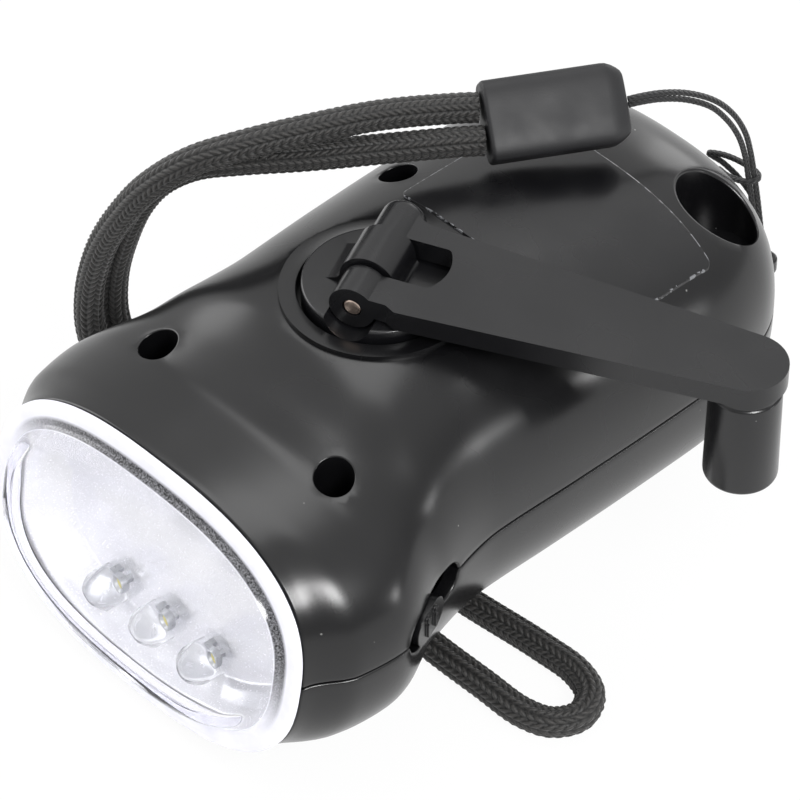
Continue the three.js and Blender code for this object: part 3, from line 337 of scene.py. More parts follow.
def braided_nylon(name, gap, base, light, fibre_size):
    """Dyed nylon fibre: IOR 1.53, rough, with a sheen from the fuzz. On the braid's map the two families of
    strands are parabolas across each strand. The higher one shows, as in the relief of the mesh. Where the
    braid lies low, the colour goes to the gap colour, as painted shade between the strands."""
    made, tree = blank(name)
    axes = add(tree, "SeparateXYZ", {0: add(tree, "UVMap", uv_map="braid")})
    turn = add(tree, "Math", {0: axes.outputs["X"], 1: math.pi}, operation="MULTIPLY")
    sine = add(tree, "Math", {0: turn}, operation="SINE")
    swing = add(tree, "Math", {0: sine, 1: BRAID_SWING}, operation="MULTIPLY")
    size = add(tree, "Math", {0: sine}, operation="ABSOLUTE")
    root = add(tree, "Math", {0: size, 1: 0.5}, operation="POWER")
    dive = add(tree, "Math", {0: root, 1: 0.5, 2: 0.5}, operation="MULTIPLY_ADD")
    heights, fibres = [], []
    for way in ("ADD", "SUBTRACT"):
        count = add(tree, "Math", {0: axes.outputs["X"], 1: axes.outputs["Y"]}, operation=way)
        share = add(tree, "Math", {0: count}, operation="FRACT")
        middle = add(tree, "Math", {0: share, 1: 2.0, 2: -1.0}, operation="MULTIPLY_ADD")
        square = add(tree, "Math", {0: middle, 1: middle}, operation="MULTIPLY")
        bulge = add(tree, "Math", {0: 1.0, 1: square}, operation="SUBTRACT")
        heights.append(add(tree, "Math", {0: bulge, 1: swing}, operation=way))
        fibres.append(count)
    upper = add(tree, "Math", {0: heights[0], 1: heights[1]}, operation="MAXIMUM")
    high = add(tree, "Math", {0: upper, 1: dive}, operation="MULTIPLY")
    first = add(tree, "Math", {0: heights[0], 1: heights[1]}, operation="GREATER_THAN")
    across = add(tree, "Mix", {"Factor": first, "A": fibres[1], "B": fibres[0]})
    streak = add(tree, "TexNoise", {"W": across, "Scale": 9.0, "Detail": 2.0}, noise_dimensions="1D")
    streak_light = add(tree, "MapRange", {"Value": streak, **NOISE_SPAN, "To Min": 0.5, "To Max": 1.2})
    where = add(tree, "TexCoord").outputs["Object"]
    fuzz = add(tree, "TexNoise", {"Vector": where, "Scale": per_metre(fibre_size), "Detail": 3.0})
    fuzz_share = add(tree, "MapRange", {"Value": fuzz, **NOISE_SPAN, "To Min": 0.0, "To Max": 1.0})
    rough = add(tree, "MapRange", {"Value": fuzz, **NOISE_SPAN, "To Min": 0.5, "To Max": 0.7})
    # Painted shade: where the braid lies low, between and under strands, the colour goes to the gap colour.
    rise = add(tree, "MapRange", {"Value": high, "From Min": 0.4, "From Max": 1.2},
               interpolation_type="SMOOTHSTEP")
    lit = add(tree, "Math", {0: rise, 1: streak_light}, operation="MULTIPLY")
    body = add(tree, "Mix", {"Factor": fuzz_share, "A": colour(base), "B": colour(light)}, data_type="RGBA")
    shade = add(tree, "Mix", {"Factor": lit, "A": colour(gap), "B": body}, data_type="RGBA")
    relief = add(tree, "Math", {0: streak, 1: 0.12, 2: high}, operation="MULTIPLY_ADD")
    bump = add(tree, "Bump", {"Height": relief, "Strength": 0.8, "Distance": 0.00016})
    skin = add(tree, "BsdfPrincipled", {"Base Color": shade, "Roughness": rough, "IOR": 1.53,
               "Normal": bump, "Sheen Weight": 0.15, "Sheen Roughness": 0.45})
    add(tree, "OutputMaterial", {"Surface": skin})
    return made


# The cord's fibres are browner and coarser than the thread's. Both are drawn coarser than real filaments,
# which are about 0.02 mm, so that the render shows them.
# The first colour of each is painted shade for the gaps between strands.
cord_nylon = braided_nylon("braided_black_nylon", "030303", "191817", "3c3a38", 0.3)
thread_nylon = braided_nylon("twisted_black_thread", "070708", "151516", "2c2c2e", 0.15)
print("cord materials:", cord_nylon.name, "and", thread_nylon.name)


# %% [markdown]
# The wrist cord is one braided cord of 3.75 mm. Both its ends sit in the rubber bead. It runs from there in
# two strands side by side over the back of the lamp, down its left side, under the waist, and ends in a
# small loop on the right. A Blender curve with a round bevel would give a smooth hose. Here the tube is
# worked out point by point, so that its radius can follow the braid. The points of the route are the CAD
# model's own, and a centripetal curve runs through them, which keeps its speed even where they lie close.


# %% Path along points
SPAN_STEPS = 40  # points worked out between two points of a route, before the even spacing


def smooth_path(points, spacing):
    """A cubic between each two points, whose slope at a point follows from both its neighbours. The knot gap
    is the square root of the distance, and the curve's points are then set at an even spacing."""
    points = np.asarray(points, float)
    ends = np.concatenate([[2 * points[0] - points[1]], points, [2 * points[-1] - points[-2]]])
    gaps = np.linalg.norm(np.diff(ends, axis=0), axis=1)[:, None] ** 0.5
    before, here, after = gaps[:-2], gaps[1:-1], gaps[2:]
    p0, p1, p2, p3 = ends[:-3], ends[1:-2], ends[2:-1], ends[3:]
    m1 = ((p1 - p0) / before - (p2 - p0) / (before + here) + (p2 - p1) / here) * here
    m2 = ((p2 - p1) / here - (p3 - p1) / (here + after) + (p3 - p2) / after) * here
    t = np.linspace(0, 1, SPAN_STEPS, endpoint=False)[None, :, None]
    p1, p2, m1, m2 = (a[:, None, :] for a in (p1, p2, m1, m2))
    dense = (2 * t ** 3 - 3 * t ** 2 + 1) * p1 + (t ** 3 - 2 * t ** 2 + t) * m1
    dense = dense + (3 * t ** 2 - 2 * t ** 3) * p2 + (t ** 3 - t ** 2) * m2
    dense = np.concatenate([dense.reshape(-1, 3), points[-1:]])
    run = np.concatenate([[0], np.cumsum(np.linalg.norm(np.diff(dense, axis=0), axis=1))])
    stations = np.linspace(0, run[-1], max(3, int(round(run[-1] / spacing))))
    return np.stack([np.interp(stations, run, dense[:, k]) for k in range(3)], axis=1), run[-1]


def path_frames(path):
    """Tangent, side and up at each station. The side direction is carried along from one station to the
    next, so that the tube doesn't twist."""
    tangent = np.gradient(path, axis=0)
    tangent /= np.linalg.norm(tangent, axis=1)[:, None]
    side = np.empty_like(tangent)
    seed = np.cross(tangent[0], [0.0, 0.0, 1.0])
    side[0] = seed / np.linalg.norm(seed)
    for k in range(1, len(path)):
        carried = side[k - 1] - tangent[k] * (side[k - 1] @ tangent[k])
        side[k] = carried / np.linalg.norm(carried)
    return tangent, side, np.cross(tangent, side)


# %% Braided tube
def braid_relief(angle, run, strands, pick):
    """Height of a braid's surface from 0 to 1. Two families of strands wind in opposite ways. Across a
    strand the height is a parabola, and columns along the cord take turns at which family lies on top.
    Where a strand dives under the next, at a column's edge, it lies at half height."""
    around = angle * strands / (2 * math.pi)
    left, right = around + run / pick, around - run / pick
    swing = np.sin(math.pi * around)
    bulge = [1 - (2 * (w % 1) - 1) ** 2 for w in (left, right)]
    high = np.maximum(bulge[0] + BRAID_SWING * swing, bulge[1] - BRAID_SWING * swing) / (1 + BRAID_SWING)
    return np.clip(high, 0, 1) * (0.5 + 0.5 * np.abs(swing) ** 0.5)


def lay_braid_map(mesh, rows, sides, strands, picks):
    """A map whose first number counts strands round the tube and whose second counts picks along it. Each
    face gets its own corners, so the count doesn't jump back inside the last face of a round."""
    around = np.arange(sides + 1) * strands / sides
    u = np.stack([around[:-1], around[1:], around[1:], around[:-1]], axis=-1)
    v = np.stack([picks[:-1], picks[:-1], picks[1:], picks[1:]], axis=-1)
    corners = np.stack(np.broadcast_arrays(u[None], v.reshape(rows - 1, 1, 4)), axis=-1).reshape(-1, 2)
    flat = np.zeros((len(mesh.loops), 2), np.float32)
    flat[:len(corners)] = corners
    mesh.uv_layers.new(name="braid").data.foreach_set("uv", flat.ravel())


def braided_tube(name, route, diameter, strands, pick, relief, spacing, sides):
    """A tube whose radius is half the diameter, less the relief where the braid is low."""
    path, length = smooth_path(route, spacing)
    tangent, side, up = path_frames(path)
    angle = round_angles(sides)[None, :]
    run = np.linspace(0, length, len(path))[:, None]
    height = braid_relief(angle, run, strands, pick)
    radius = (diameter / 2 - relief * (1 - height))[..., None]
    ring = np.cos(angle)[..., None] * side[:, None] + np.sin(angle)[..., None] * up[:, None]
    points = path[:, None] + radius * ring
    tips = np.stack([path[0], path[-1]])
    rows = len(path)
    faces = sheet_faces(rows, sides).tolist()
    first = np.arange(sides)
    last = first + (rows - 1) * sides
    faces += np.stack([np.roll(first, -1), first, np.full(sides, rows * sides)], axis=1).tolist()
    faces += np.stack([last, np.roll(last, -1), np.full(sides, rows * sides + 1)], axis=1).tolist()
    every = np.concatenate([points.reshape(-1, 3), tips])
    mesh = new_mesh(name, place(every), faces, smooth_angle=180, weld=False)
    lay_braid_map(mesh, rows, sides, strands, run / pick)
    return mesh, place(path), length * MM


# %% Wrist cord
CORD_DIAMETER = 3.75
cord_route = [
    [-9.1, 24.9, 46.2], [-10.9, 22.6, 46.3], [-15.5, 15.1, 46.9], [-19.6, 6.8, 47],
    [-23.7, 0, 46], [-27.3, -4, 43.9], [-31.8, -6.9, 38.9], [-35.6, -8.1, 32.8],
    [-39.4, -8.7, 25], [-41.8, -8.9, 16.5], [-41.9, -9, 9.8], [-39.8, -8.7, 4.6],
    [-35.2, -8.5, 2.1], [-28.5, -8.4, 1.9], [-8, -8.5, 1.9], [17.5, -10.1, 1.9],
    [28, -10, 1.9], [34.3, -9.8, 1.9], [37.7, -8.4, 1.9], [39.2, -5.4, 1.9],
    [37.9, -2.4, 1.9], [34.4, -0.9, 1.9], [28.5, -1, 1.9], [17.5, -2.1, 1.9],
    [-8, -4.1, 1.9], [-28.5, -4.4, 1.9], [-35.2, -4.5, 2.1], [-39.8, -4.7, 4.6],
    [-41.9, -5, 9.8], [-41.8, -4.9, 16.5], [-39.4, -4.7, 25], [-36.4, -4.3, 32],
    [-33.4, -3.5, 36.7], [-29.1, -1.6, 40.7], [-24.9, 1.2, 42.4], [-19.6, 6.8, 43],
    [-13.9, 14.1, 43.3], [-8.3, 21, 43.7], [-6.5, 23.4, 43.6],
]
cord_mesh, cord_path, cord_length = braided_tube(
    "wrist_cord_braid", cord_route, CORD_DIAMETER, strands=12, pick=0.98, relief=0.3, spacing=0.225,
    sides=60)
wrist_cord = dress("wrist_cord_braid", cord_mesh, cord_nylon, "housing", "cord_braid", "wrist_cord")
print(f"wrist cord: {cord_length * 1000:.0f} mm")

# %% [markdown]
# The bead is a flat block of soft black rubber that grips both strands. Its section is a superellipse, a
# rectangle with very round corners, and its rear end is bevelled. A cube with a Bevel would have the same
# round on every edge. So the bead is lofted along its own axis, and each end is drawn in in its own way.

# %% Rubber
rubber, tree = blank("soft_black_rubber")
# Natural rubber with carbon black, moulded: IOR 1.52 and a broad dull shine. The mould left a very fine
# grain, and handling has polished it in patches.
where = add(tree, "TexCoord").outputs["Object"]
patches = add(tree, "TexNoise", {"Vector": where, "Scale": per_metre(5.0), "Detail": 2.0})
fine = add(tree, "TexNoise", {"Vector": where, "Scale": per_metre(0.22), "Detail": 3.0})
rough = add(tree, "MapRange", {"Value": patches, **NOISE_SPAN, "To Min": 0.48, "To Max": 0.62})
tone = add(tree, "Mix", {"Factor": patches, "A": colour("0e0e10"), "B": colour("161619")}, data_type="RGBA")
bump = add(tree, "Bump", {"Height": fine, "Strength": 0.25, "Distance": 0.00004})
skin = add(tree, "BsdfPrincipled", {"Base Color": tone, "Roughness": rough, "IOR": 1.52, "Normal": bump})
add(tree, "OutputMaterial", {"Surface": skin})
print("made", rubber.name)

# %% Bead
BEAD_MIDDLE = np.array([-3.2, 31.8, 44.9])
BEAD_HALF = np.array([8.6, 4.95, 2.6])  # length, width, thickness
BEAD_AZIMUTH, BEAD_TILT = math.radians(58.87), math.radians(40)
BEAD_POWER = 4
FRONT_ROLL = 0.5
REAR_TAPER = np.array([[2.6, 0.0], [2.0, 0.06], [1.3, 0.35], [0.7, 0.72], [0.25, 1.1], [0.05, 1.45],
                       [0.0, 1.8]])  # distance from the rear end, and inset
bead_along = np.array([math.cos(BEAD_AZIMUTH), math.sin(BEAD_AZIMUTH), 0])
bead_level = np.array([-math.sin(BEAD_AZIMUTH), math.cos(BEAD_AZIMUTH), 0])
bead_wide = bead_level * math.cos(BEAD_TILT) + np.array([0, 0, math.sin(BEAD_TILT)])
bead_thick = np.cross(bead_along, bead_wide)


def bead_rings(count=72):
    """Superellipse sections of the fourth power. The inset follows a quarter circle at the front end and
    the taper's table at the rear end, and a last ring of no size closes each end."""
    length, width, thickness = BEAD_HALF
    turn = np.linspace(0, math.pi / 2, 7)
    front = FRONT_ROLL * np.stack([1 - np.sin(turn), 1 - np.cos(turn)], axis=1)[::-1] - [length, 0]
    taper = REAR_TAPER * [-1, 1] + [length, 0]
    middle = np.stack([np.linspace(-length + 0.8, length - 2.9, 12), np.zeros(12)], axis=1)
    rows = np.concatenate([[[-length, thickness]], front, middle, taper, [[length, thickness]]])
    c, s, size = superellipse(round_angles(count), BEAD_POWER)
    wide = (width - rows[:, 1:]) * c * size
    thick = (thickness - rows[:, 1:]) * s * size
    along = rows[:, :1, None] * bead_along
    return BEAD_MIDDLE + along + wide[..., None] * bead_wide + thick[..., None] * bead_thick


bead_points, bead_faces = rings_sheet(bead_rings())
bead_mesh = new_mesh("rubber_bead", place(bead_points), bead_faces, 50)
bead = dress("rubber_bead", bead_mesh, rubber, "housing", "bead_rubber", "strap_bead")

# %% [markdown]
# The thread that ties the bead to the lamp is one thin twisted thread, doubled. It leaves the bead's rear
# end, arches over the tail and goes through the eye of the bail, where it is hitched round itself. One
# thicker tube would be simpler, but the two strands part in the photograph, so each is a tube of its own
# beside the CAD model's line.

# %% Doubled thread
THREAD_DIAMETER = 0.78
thread_route = np.array([
    [1.4, 39.4, 44.9], [2, 40.5, 45], [3, 43.3, 44.5], [4.2, 46.6, 43.2], [5.6, 49.6, 41.2],
    [6.4, 52, 38.2], [6.8, 54, 34.4], [6.9, 55.3, 30.4], [7.2, 55.9, 26.6], [7.9, 56, 23.2],
    [9, 55.5, 20.4], [10.2, 54.7, 18.4], [10.4, 54.4, 17],
])
spread_shares = np.array([1, 1, 1.05, 1.1, 1.15, 1.3, 1.2, 1, 1, 1, 1, 1, 1.0])[:, None]
apart = np.cross(np.gradient(thread_route, axis=0), [0.9, -0.4, 0.2])
apart = apart / np.linalg.norm(apart, axis=1)[:, None] * THREAD_DIAMETER / 2 * spread_shares


def thread_tube(name, route, spacing):
    """A tube with the thread's own twist along a route."""
    return braided_tube(name, route, THREAD_DIAMETER, strands=4, pick=0.7, relief=0.07, spacing=spacing,
                        sides=20)


def thread_strand(name, side):
    """One strand: the shared line moved to its side by half a thread."""
    mesh, path, length = thread_tube(name, thread_route + side * apart, 0.14)
    strand = dress(name, mesh, thread_nylon, "housing", "thread_braid", "strap_thread")
    return strand, path, length


thread_left, left_path, left_length = thread_strand("tie_thread_left", -1)
thread_right, right_path, right_length = thread_strand("tie_thread_right", 1)
print(f"threads: {left_length * 1000:.0f} and {right_length * 1000:.0f} mm")

# %% Hitch round the thread
hitch_route = [[10.2, 54.6, 18.4], [9.2, 55.6, 20.2], [7.4, 56.8, 21.8], [4.6, 57.2, 23.4], [1.6, 57.0, 24.6],
               [-0.4, 56.5, 25.2], [1.4, 56.9, 25.9], [4.2, 57.3, 26.2], [7.2, 57.1, 26.3], [7.9, 56.2, 26.4],
               [7.0, 55.1, 26.2], [4.4, 55.0, 25.4], [2.2, 55.6, 24.8]]
hitch_mesh, _, hitch_length = thread_tube("hitch_loop", hitch_route, 0.16)
hitch = dress("hitch_loop", hitch_mesh, thread_nylon, "housing", "thread_braid")
print(f"hitch: {hitch_length * 1000:.0f} mm")

# %% [markdown]
# The housing is two moulded shells. Its form is a row of sections along the lamp: each is a superellipse
# whose half width, height and depth follow smooth lines through a few shares, so the bulge behind the
# lens, the waist and the tail all come from three short tables. The rim leans back at the front, and at
# the tail the sections close along a superellipse of their own. A coarse cage under a Subdivision Surface
# could be pushed to this form by hand. Sections were chosen because the CAD model is made of the same ones,
# so the dressed shell lies on its solid.

# %% Housing values
LENGTH, CRANK_FROM_RIM = 89.3, 36.07
BULGE, HUMP, BELLY = 29.3, 21.3, 20.0  # greatest half width, and height over and under the parting line
WALL, PARTING = 1.8, 19.0
RIM_LEAN, LEAN_FADE = math.radians(9.7), 15.0  # the lean is gone this far behind the rim
SECTION_POWER, TAIL_POWER = 2.6, 2.7
TAIL = 18.0
TAIL_START = LENGTH - TAIL
TAIL_ARC = 28.0  # length on the plan that the closing tail is given
PLAN_PER_RADIAN = 25.0  # width on the plan of one radian of ring angle
# Rows of the tables: share of the length behind the rim, and share of the greatest size.
width_shares = np.array([[0, 0.87], [0.067, 0.973], [0.134, 1], [0.246, 0.863], [0.37, 0.795],
                         [0.504, 0.812], [0.638, 0.826], [0.761, 0.831], [0.873, 0.792], [1, 0.768]])
height_shares = np.array([[0, 0.742], [0.134, 0.746], [0.202, 0.826], [0.28, 0.948], [0.347, 0.986],
                          [0.414, 1], [0.56, 0.986], [0.694, 0.958], [0.829, 0.911], [1, 0.868]])
depth_shares = np.array([[0, 0.85], [0.045, 0.915], [0.1, 0.985], [0.17, 1], [1, 1]])
ARCH_CENTRE, ARCH_FLAT, ARCH_HALF, ARCH_HEIGHT = -6.0, 7.0, 12.0, 4.4
GROUND_SOFTNESS = 0.25  # how gently the belly turns into its flat underside
print("the tail starts", TAIL_START, "mm behind the rim")


# %% Housing form
def eased(table, at):
    """A cubic through the rows of a table: it is level at both ends, never overshoots, and its slope at a
    row is a weighted harmonic mean of the slopes beside it."""
    x, y = np.asarray(table, float).T
    gap = np.diff(x)
    rise = np.diff(y) / gap
    w1, w2 = 2 * gap[1:] + gap[:-1], gap[1:] + 2 * gap[:-1]
    same = rise[:-1] * rise[1:] > 0
    first, second = np.where(same, rise[:-1], 1.0), np.where(same, rise[1:], 1.0)
    slope = np.concatenate([[0], np.where(same, (w1 + w2) / (w1 / first + w2 / second), 0), [0]])
    at = np.clip(at, x[0], x[-1])
    i = np.clip(np.searchsorted(x, at, side="left") - 1, 0, len(gap) - 1)
    s = (at - x[i]) / gap[i]
    blend = y[i] + (y[i + 1] - y[i]) * s * s * (3 - 2 * s)
    return blend + gap[i] * ((s ** 3 - 2 * s * s + s) * slope[i] + (s ** 3 - s * s) * slope[i + 1])


def section(v, inset):
    """Half width, height, depth and distance from the rim at plan length v. Past the tail's start, v turns
    about the tail's superellipse, whose cosine part closes the section."""
    turn = np.clip((v - TAIL_START) / TAIL_ARC, 0, 1) * math.pi / 2
    size = (np.cos(turn) ** TAIL_POWER + np.sin(turn) ** TAIL_POWER) ** (-1 / TAIL_POWER)
    close = np.clip(np.cos(turn), 0, 1) * size
    distance = np.where(v > TAIL_START, TAIL_START + (TAIL - inset) * np.sin(turn) * size, v)
    share = distance / LENGTH
    sizes = [BULGE * eased(width_shares, share), HUMP * eased(height_shares, share),
             BELLY * eased(depth_shares, share)]
    return [(size - inset) * close for size in sizes] + [distance]


def ground_height(y):
    """The floor under the lamp: flat, with the arch of the waist standing up in it along a smooth step."""
    s = np.clip((ARCH_HALF - np.abs(y - ARCH_CENTRE)) / (ARCH_HALF - ARCH_FLAT), 0, 1)
    return ARCH_HEIGHT * s * s * (3 - 2 * s)


def form(angle, v, half, inset=0.0):
    """A point of the housing: the superellipse of its section at a ring angle, up for the upper half and
    down for the lower, which rests on the ground through a softened maximum."""
    width, height, depth, distance = section(v, inset)
    c, s, size = superellipse(angle, SECTION_POWER)
    up = (height if half > 0 else -depth) * s * size
    fade = np.clip(1 - np.clip(distance, 0, None) / LEAN_FADE, 0, None)
    y = distance - CRANK_FROM_RIM + math.tan(RIM_LEAN) * fade * up
    z = PARTING + up
    if half < 0:
        level = ground_height(y) + inset
        z = (z + level + np.sqrt((z - level) ** 2 + GROUND_SOFTNESS ** 2)) / 2
    return np.stack(np.broadcast_arrays(width * c * size, y, z), axis=-1)


def plan_length(distance, inset=0.0):
    """Plan length v of a distance from the rim: the turn of the tail's superellipse is read back from its
    sine part."""
    along = np.clip((distance - TAIL_START) / (TAIL - inset), 0, 1)
    close = (1 - along ** TAIL_POWER) ** (1 / TAIL_POWER)
    tail_length = TAIL_START + TAIL_ARC * np.arctan2(along, close) / (math.pi / 2)
    return np.where(distance > TAIL_START, tail_length, distance)


def crown_plan(x, y, inset=0.0):
    """Ring angle and plan length of the crown's point above (x, y): the lean of the rim shifts y with the
    height, so distance and height are found in turn a few times."""
    distance = np.asarray(y, float) + CRANK_FROM_RIM
    for _ in range(8):
        v = plan_length(distance, inset)
        width, height, _, _ = section(v, inset)
        share = np.clip(np.abs(x) / np.maximum(width, 1e-6), 0, 1)
        rise = (1 - share ** SECTION_POWER) ** (1 / SECTION_POWER)
        fade = np.clip(1 - np.clip(distance, 0, None) / LEAN_FADE, 0, None)
        distance = y + CRANK_FROM_RIM - math.tan(RIM_LEAN) * fade * height * rise
    return np.arctan2(rise, np.sign(x) * share), v


def crown_height(x, y, inset=0.0):
    """Height of the crown above (x, y): its plan point, bent by the form."""
    angle, v = crown_plan(x, y, inset)
    return form(angle, v, 1, inset)[..., 2]


crest = crown_height(np.array(0.0), np.array(0.0))
print("crest height at the crank:", round(float(crest), 2), "mm")

# %% [markdown]
# Holes are cut on the plan, before the sheet is bent. The plan is the flat drawing of ring angle against
# length. A net of even triangles is laid over it so that it keeps every outline as an edge, the triangles
# inside holes are dropped, and only then the form bends the net. So a hole's edge lies exactly on the
# curved skin. A Boolean could cut the finished shell as well, but it leaves long thin triangles whose
# shading shows on glossy plastic. A quarter circle and a wall are carried along each edge, as on a moulding.

# %% Points inside a loop
def within(points, loop):
    """True where a point lies inside a closed loop: a line to the right of it crosses the loop an odd number
    of times."""
    a, b = loop, np.roll(loop, -1, axis=0)
    rise = np.where(b[:, 1] == a[:, 1], 1e-12, b[:, 1] - a[:, 1])
    out = []
    for some in np.array_split(points, max(1, len(points) // 4000)):
        x, y = some[:, :1], some[:, 1:]
        spans = (a[:, 1] > y) != (b[:, 1] > y)
        crossing = a[:, 0] + (y - a[:, 1]) * (b[:, 0] - a[:, 0]) / rise
        out.append((spans & (x < crossing)).sum(axis=1) % 2 == 1)
    return np.concatenate(out)


def near(points, loop, reach):
    """True where a point lies within reach of a corner of the loop."""
    out = []
    for some in np.array_split(points, max(1, len(points) // 4000)):
        gap = ((some[:, None] - loop[None]) ** 2).sum(axis=2)
        out.append(gap.min(axis=1) < reach ** 2)
    return np.concatenate(out)


unit_square = np.array([[0, 0], [1, 0], [1, 1], [0, 1.0]])
print("is the middle of a square inside it:", bool(within(np.array([[0.5, 0.5]]), unit_square)[0]))


# %% Net and normals
def net(outline, holes, step):
    """Plan points and triangles inside the outline and outside the holes. The loops' corners come first."""
    low, high = outline.min(axis=0), outline.max(axis=0)
    grid = np.stack(np.meshgrid(np.arange(low[0], high[0], step), np.arange(low[1], high[1], step)), -1)
    grid = grid.reshape(-1, 2)
    keep = within(grid, outline) & ~near(grid, outline, step * 0.6)
    for hole in holes:
        keep &= ~within(grid, hole) & ~near(grid, hole, step * 0.6)
    loops = [outline, *holes]
    flat = np.concatenate([*loops, grid[keep]])
    starts = np.cumsum([0] + [len(loop) for loop in loops])
    edges = []
    for start, loop in zip(starts, loops):
        count = len(loop)
        edges += [(int(start + k), int(start + (k + 1) % count)) for k in range(count)]
    corners, _, triangles, *_ = geometry.delaunay_2d_cdt(flat.tolist(), edges, [], 0, 1e-7)
    corners, triangles = np.array(corners), np.array(triangles)
    middle = corners[triangles].mean(axis=1)
    inside = within(middle, outline)
    for hole in holes:
        inside &= ~within(middle, hole)
    return corners, triangles[inside]


def skin_normals(angle, v, half):
    """Outward normals of the form: the cross product of small steps along both of its directions."""
    tiny = 1e-3
    across = form(angle + tiny, v, half) - form(angle - tiny, v, half)
    along = form(angle, v + tiny, half) - form(angle, v - tiny, half)
    normal = np.cross(along, across) * half
    return normal / np.linalg.norm(normal, axis=-1, keepdims=True)


# %% Rolled edge
def rolled_edge(loop, out, down, radius, depth, steps=5):
    """Rings of a moulded edge: a quarter circle from the direction `out` to the direction `down`, and then
    the wall."""
    turn = np.linspace(0, math.pi / 2, steps)[:, None, None]
    rings = loop + radius * (np.sin(turn) * out + (1 - np.cos(turn)) * down)
    return np.concatenate([rings, rings[-1:] + down * depth])


RIM_ROLL = 0.3  # radius of the housing's own edges
print("radius of the rolled edges:", RIM_ROLL, "mm")

# %% [markdown]
# Each hole of the upper shell is a round bore with a rolled edge. One function gives its loop on the plan,
# for the net, and the rings that go down into the shell. A second one gives the boss, the tube inside the
# shell that the bore goes down in. A plain hole would be simpler, but the real bores are deep tubes, and
# through a plain hole the inner skin would show.

# %% Bores and bosses
def bore(x, y, radius, roll, floor, count=72):
    """Plan loop and rings of a vertical bore. The roll shrinks where the crown is less than its radius above
    the floor."""
    angle = round_angles(count)
    out = np.stack([-np.cos(angle), -np.sin(angle), np.zeros(count)], axis=1)
    px, py = x - (radius + roll) * out[:, 0], y - (radius + roll) * out[:, 1]
    ring_angle, v = crown_plan(px, py)
    loop = form(ring_angle, v, 1)
    rise = np.clip(loop[:, 2] - floor, 1e-3, None)
    turn = np.linspace(0, math.pi / 2, 6)[:, None]
    flat = px + roll * np.sin(turn) * out[:, 0], py + roll * np.sin(turn) * out[:, 1]
    height = loop[:, 2] - np.minimum(roll, rise) * (1 - np.cos(turn))
    rings = np.stack([*flat, height], axis=-1)
    bottom = rings[-1].copy()
    bottom[:, 2] = floor
    plan = np.stack([ring_angle * PLAN_PER_RADIAN, v], axis=1)
    return plan, np.concatenate([rings, bottom[None]])


def inner_rings(x, y, rows, count=72):
    """Rings of [radius, height] round (x, y), all level, to carry a bore's floor on."""
    angle = round_angles(count)
    ring = np.stack([np.cos(angle), np.sin(angle), np.zeros(count)], axis=1)
    return np.stack([ring * radius + [x, y, height] for radius, height in rows])


def boss(x, y, radius, floor, count=72):
    """Plan loop and rings of the tube round a bore: it starts on the inner skin and ends in a flat floor."""
    angle = round_angles(count)
    ring_angle, v = crown_plan(x + radius * np.cos(angle), y + radius * np.sin(angle), WALL)
    top = form(ring_angle, v, 1, WALL)
    plan = np.stack([ring_angle * PLAN_PER_RADIAN, v], axis=1)
    return plan, np.concatenate([top[None], inner_rings(x, y, [[radius, floor], [0, floor]], count)])


print("rings of a floor:", inner_rings(0, 0, [[1, 0], [0, 0]]).shape)

# %% Holes of the upper shell
RING_RADIUS, RING_FLOOR = 11.5, 39.7
POOL_RADIUS, POOL_FLOOR, POOL_EDGE = 9.4, 36.7, 0.2  # the hollow under the turntable
SCREW_RADIUS, SCREW_FLOOR = 2.3, 20.7
SCREW_PLACES = [(-14.75, -20.9), (14.75, -20.9), (-14.2, 16.8), (14.2, 16.8)]
ARM_RADIUS = 44.5
STOW_AZIMUTH, STOW_RADIUS, STOW_FLOOR = math.radians(72.3), 4.9, 26.2  # the recess for the knob
STOW_X, STOW_Y = ARM_RADIUS * math.cos(STOW_AZIMUTH), ARM_RADIUS * math.sin(STOW_AZIMUTH)
BOSS_WALL, BOSS_FLOOR = 0.6, 1.5

ring_plan, ring_rings = bore(0, 0, RING_RADIUS, 0.2, RING_FLOOR, 144)
pool_profile = [[POOL_RADIUS + POOL_EDGE, RING_FLOOR], [POOL_RADIUS + 0.06, RING_FLOOR - 0.06],
                [POOL_RADIUS, RING_FLOOR - POOL_EDGE], [POOL_RADIUS, POOL_FLOOR], [0, POOL_FLOOR]]
pool_rings = inner_rings(0, 0, pool_profile, 144)
stow_plan, stow_rings = bore(STOW_X, STOW_Y, STOW_RADIUS, 0.4, STOW_FLOOR, 96)
stow_floor = inner_rings(STOW_X, STOW_Y, [[0, STOW_FLOOR]], 96)
crown_holes = [(ring_plan, np.concatenate([ring_rings, pool_rings])),
               (stow_plan, np.concatenate([stow_rings, stow_floor]))]
for x, y in SCREW_PLACES:
    plan, rings = bore(x, y, SCREW_RADIUS, 0.18, SCREW_FLOOR)
    crown_holes.append((plan, np.concatenate([rings, inner_rings(x, y, [[0, SCREW_FLOOR]])])))
bosses = [boss(0, 0, POOL_RADIUS + BOSS_WALL, POOL_FLOOR - BOSS_FLOOR),
          boss(STOW_X, STOW_Y, STOW_RADIUS + BOSS_WALL, STOW_FLOOR - BOSS_FLOOR)]
bosses += [boss(x, y, SCREW_RADIUS + BOSS_WALL, SCREW_FLOOR - BOSS_FLOOR) for x, y in SCREW_PLACES]
print("holes in the crown:", len(crown_holes))

# %% [markdown]
# The edge of each half follows the parting line round the lamp. On the right side it steps out round the
# slot of the switch, which is cut half from the upper and half from the lower shell. The slot could be cut
# later, but as a part of the outline it gets the same rolled edge and wall as the rest.

# %% Switch slot
PARTING_GAP = 0.2
SLOT_X, SLOT_Y, SLOT_TURN = 26.53, -16.9, math.radians(20.46)
SLOT_LENGTH, SLOT_HEIGHT = 13.0, 4.8
slot_out = np.array([math.cos(SLOT_TURN), math.sin(SLOT_TURN), 0])
slot_back = np.array([-math.sin(SLOT_TURN), math.cos(SLOT_TURN), 0])


